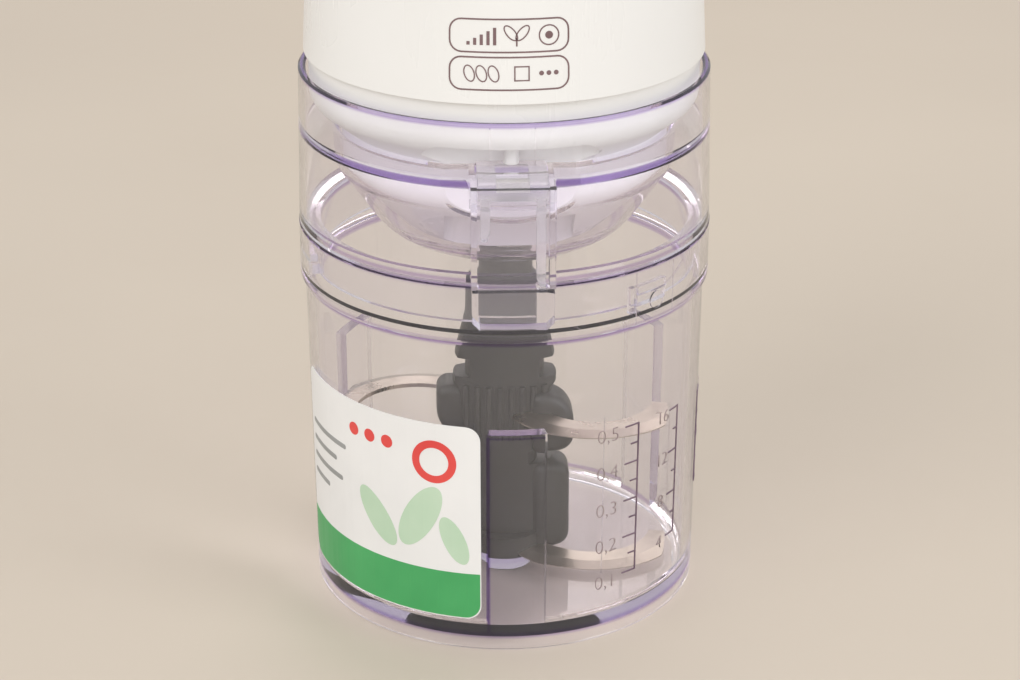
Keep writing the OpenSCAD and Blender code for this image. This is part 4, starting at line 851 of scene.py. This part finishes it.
panel = {
    "wallR": 54.5, "facing": -0.8, "line": 0.42, "ink": 0.04, "lift": 0.03, "width": 31.0, "height": 8.9,
    "corner": 3.2, "lowZ": 167.4, "highZ": 177.2, "steps": 16,
    "bars": {"count": 5, "x": -10.5, "pitch": 1.7, "foot": -2.4, "wide": 0.8, "rise": 0.9},
    "leaf": {"spots": ((0.4, 40), (3.4, -40)), "z": 0.7, "r": 2.5, "sides": 32, "stretch": 0.5, "line": 0.32},
    "stalk": {"x": 1.9, "z": -1.6, "wide": 0.4, "high": 2.2},
    "ring": {"x": 10.2, "r": 2.7, "sides": 40, "line": 0.35, "innerR": 1.0, "innerSides": 24},
    "pods": {"count": 3, "x": -10.2, "pitch": 3.1, "r": 2.3, "sides": 32, "stretch": 0.62,
             "turn": 18, "line": 0.32},
    "square": {"x": 3.2, "r": 2.8, "turn": 45, "line": 0.35},
    "dots": {"count": 3, "x": 8.2, "pitch": 1.9, "r": 0.62, "sides": 18},
}


def panelFrame(z, s):
    obj = flatPlate(0, z, s["width"], s["height"], s["corner"])
    hollow(obj, s["line"])
    return sliceUp(obj, s["steps"])


def highSigns(z, s):
    # rising bars, a pair of leaves on a stalk, and a dot in a ring
    bars, leaf, stalk, ring = s["bars"], s["leaf"], s["stalk"], s["ring"]
    signs = []
    for i in range(bars["count"]):
        high = bars["rise"] * (i + 1)
        signs.append(flatPlate(
            bars["x"] + i * bars["pitch"], z + bars["foot"] + high / 2, bars["wide"], high,
        ))
    for x, turn in leaf["spots"]:
        disc = flatDisc(x, z + leaf["z"], leaf["r"], leaf["sides"], leaf["stretch"], turn)
        signs.append(hollow(disc, leaf["line"]))
    signs.append(flatPlate(stalk["x"], z + stalk["z"], stalk["wide"], stalk["high"]))
    signs.append(hollow(flatDisc(ring["x"], z, ring["r"], ring["sides"]), ring["line"]))
    signs.append(flatDisc(ring["x"], z, ring["innerR"], ring["innerSides"]))
    return signs


def lowSigns(z, s):
    # three pods, a square and a row of dots
    pods, square, dots = s["pods"], s["square"], s["dots"]
    signs = []
    for i in range(pods["count"]):
        x = pods["x"] + i * pods["pitch"]
        disc = flatDisc(x, z, pods["r"], pods["sides"], pods["stretch"], pods["turn"])
        signs.append(hollow(disc, pods["line"]))
    signs.append(hollow(flatDisc(square["x"], z, square["r"], 4, turn=square["turn"]), square["line"]))
    for i in range(dots["count"]):
        signs.append(flatDisc(dots["x"] + i * dots["pitch"], z, dots["r"], dots["sides"]))
    return signs


def buildPanels(s):
    pieces = [panelFrame(s["lowZ"], s), panelFrame(s["highZ"], s)]
    pieces += highSigns(s["highZ"], s) + lowSigns(s["lowZ"], s)
    return wrapOn(
        joinPieces(pieces, "head_panels"), "upper_housing", s["wallR"], s["facing"], s["lift"], s["ink"],
    )


panelLook = {"dark": (0.17, 0.1, 0.105), "light": (0.22, 0.14, 0.145), "roughLow": 0.35, "roughHigh": 0.5,
             "grain": 2000.0, "cloud": 120.0, "rubScale": 300.0, "rub": 0.3, "bump": 0.1, "depth": 0.03}
panels = buildPanels(panel)
paint(panels, plasticFinish("panel_print", panelLook))
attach(panels, "head")
print("head panels printed")


# thin mould lines on the collar, the lid's ring and the bowl's wall, and a ridge on the collar

mouldLines = {
    "line": 0.35, "rise": 0.16, "lay": -0.05,
    "collarAz": (35.5, 49.9), "collarR": 57.6, "collarLow": 94.6, "collarHigh": 109.4,
    "ringR": 56.6, "ringX": 5.8, "ringLow": 140.4, "ringHigh": 153.6,
    "wallR": 55.75, "wallAz": 26.7, "wallLow": 21.0, "wallHigh": 69.0, "wallLine": 0.25,
    # a curved ridge that runs up from the mark on the collar, as azimuth and height
    "ridge": ((40.7, 103.0), (45.8, 103.4), (49.7, 104.9), (54.5, 107.8)), "ridgeLine": 0.5, "ridgeSteps": 4,
}


def flatBar(x0, z0, x1, z1, w, steps):
    clearSelection()
    bpy.ops.mesh.primitive_plane_add(
        size=1, location=((x0 + x1) / 2 * mm, 0, (z0 + z1) / 2 * mm),
        rotation=(math.pi / 2, -math.atan2(z1 - z0, x1 - x0), 0),
    )
    obj = bpy.context.object
    obj.scale = ((math.hypot(x1 - x0, z1 - z0) + w / 2) * mm, w * mm, 1)
    settle()
    return sliceUp(obj, steps)


def uprightLine(name, low, high, width):
    line = flatPlate(0, (low + high) / 2, width, high - low)
    line.name = name
    return line


def buildMouldLines(s):
    done = []
    for i, az in enumerate(s["collarAz"]):
        line = uprightLine("collar_line_" + str(i + 1), s["collarLow"], s["collarHigh"], s["line"])
        done.append((wrapOn(line, "bowl", s["collarR"], az, s["lay"], s["rise"]), "bowl"))
    for i, x in enumerate((-s["ringX"], s["ringX"])):
        line = uprightLine("ring_line_" + str(i + 1), s["ringLow"], s["ringHigh"], s["line"])
        az = math.degrees(math.asin(x / s["ringR"]))
        done.append((wrapOn(line, "lid", s["ringR"], az, s["lay"], s["rise"]), "lid"))
    line = uprightLine("bowl_line", s["wallLow"], s["wallHigh"], s["wallLine"])
    done.append((wrapOn(line, "bowl", s["wallR"], s["wallAz"], s["lay"], s["rise"]), "bowl"))
    middle = (s["ridge"][0][0] + s["ridge"][-1][0]) / 2
    spots = [(math.radians(az - middle) * s["collarR"], z) for az, z in s["ridge"]]
    bars = [flatBar(*a, *b, s["ridgeLine"], s["ridgeSteps"]) for a, b in zip(spots, spots[1:])]
    ridge = joinPieces(bars, "collar_ridge")
    done.append((wrapOn(ridge, "bowl", s["collarR"], middle, s["lay"], s["rise"]), "bowl"))
    return done


for piece, body in buildMouldLines(mouldLines):
    paint(piece, clearPlastic)
    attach(piece, body)
print("mould lines set")


# camera where the photo was taken from

view = {"swing": -2.3, "away": 659.8, "side": 1.6, "high": 357.4, "pitch": 23.5,
        "focal": 2500.0, "imageW": 1020.0, "sensor": 36.0, "clip": 0.01}
swing = math.radians(view["swing"])
place = Vector((
    view["side"] * math.cos(swing) + view["away"] * math.sin(swing),
    view["side"] * math.sin(swing) - view["away"] * math.cos(swing),
    view["high"],
)) * mm
clearSelection()
bpy.ops.object.camera_add(location=place, rotation=(math.radians(90 - view["pitch"]), 0, swing))
camera = bpy.context.object
camera.data.sensor_fit = "HORIZONTAL"
camera.data.sensor_width = view["sensor"]
camera.data.lens = view["sensor"] * view["focal"] / view["imageW"]
camera.data.clip_start = view["clip"]
bpy.context.scene.camera = camera
print("camera set")


# pale floor and soft studio light

floorShape = {"size": 6.0, "drop": 0.2}
floorLook = {"dark": (0.56, 0.49, 0.41), "light": (0.6, 0.53, 0.445), "roughLow": 0.5, "roughHigh": 0.65,
             "grain": 300.0, "cloud": 3.0, "rubScale": 20.0, "rub": 0.2, "bump": 0.03, "depth": 0.05}
clearSelection()
bpy.ops.mesh.primitive_plane_add(size=floorShape["size"], location=(0, 0, -floorShape["drop"] * mm))
floor = bpy.context.object
floor.name = "floor"
floor.data.materials.append(plasticFinish("pale_floor", floorLook))


# place, height of the aim, size, power and colour of each soft lamp, in metres and watts
lamps = {
    "key": ((-0.75, -0.75, 1.05), 0.12, (0.7, 0.9), 7.0, (1.0, 0.985, 0.965)),
    "fill": ((0.95, -0.55, 0.75), 0.12, (0.5, 0.9), 4.5, (0.97, 0.98, 1.0)),
    "front": ((0.0, -1.3, 0.3), 0.13, (1.3, 0.5), 2.2, (1.0, 0.99, 0.98)),
    "back": ((0.15, 1.0, 0.9), 0.12, (1.2, 0.6), 4.0, (1.0, 0.92, 0.84)),
}
surround = {"Color": (0.95, 0.94, 0.93, 1.0), "Strength": 0.72}


def softBox(name, place, aim, size, power, colour):
    clearSelection()
    turn = (Vector((0, 0, aim)) - Vector(place)).to_track_quat("-Z", "Y").to_euler()
    bpy.ops.object.light_add(type="AREA", location=place, rotation=turn)
    lamp = bpy.context.object
    lamp.name = name
    lamp.data.shape = "RECTANGLE"
    lamp.data.size, lamp.data.size_y = size
    lamp.data.energy = power
    lamp.data.color = colour


for name, lamp in lamps.items():
    softBox(name, *lamp)
world = bpy.data.worlds.new("studio")
bpy.context.scene.world = world
world.use_nodes = True
for socket, value in surround.items():
    world.node_tree.nodes["Background"].inputs[socket].default_value = value
print("light set")
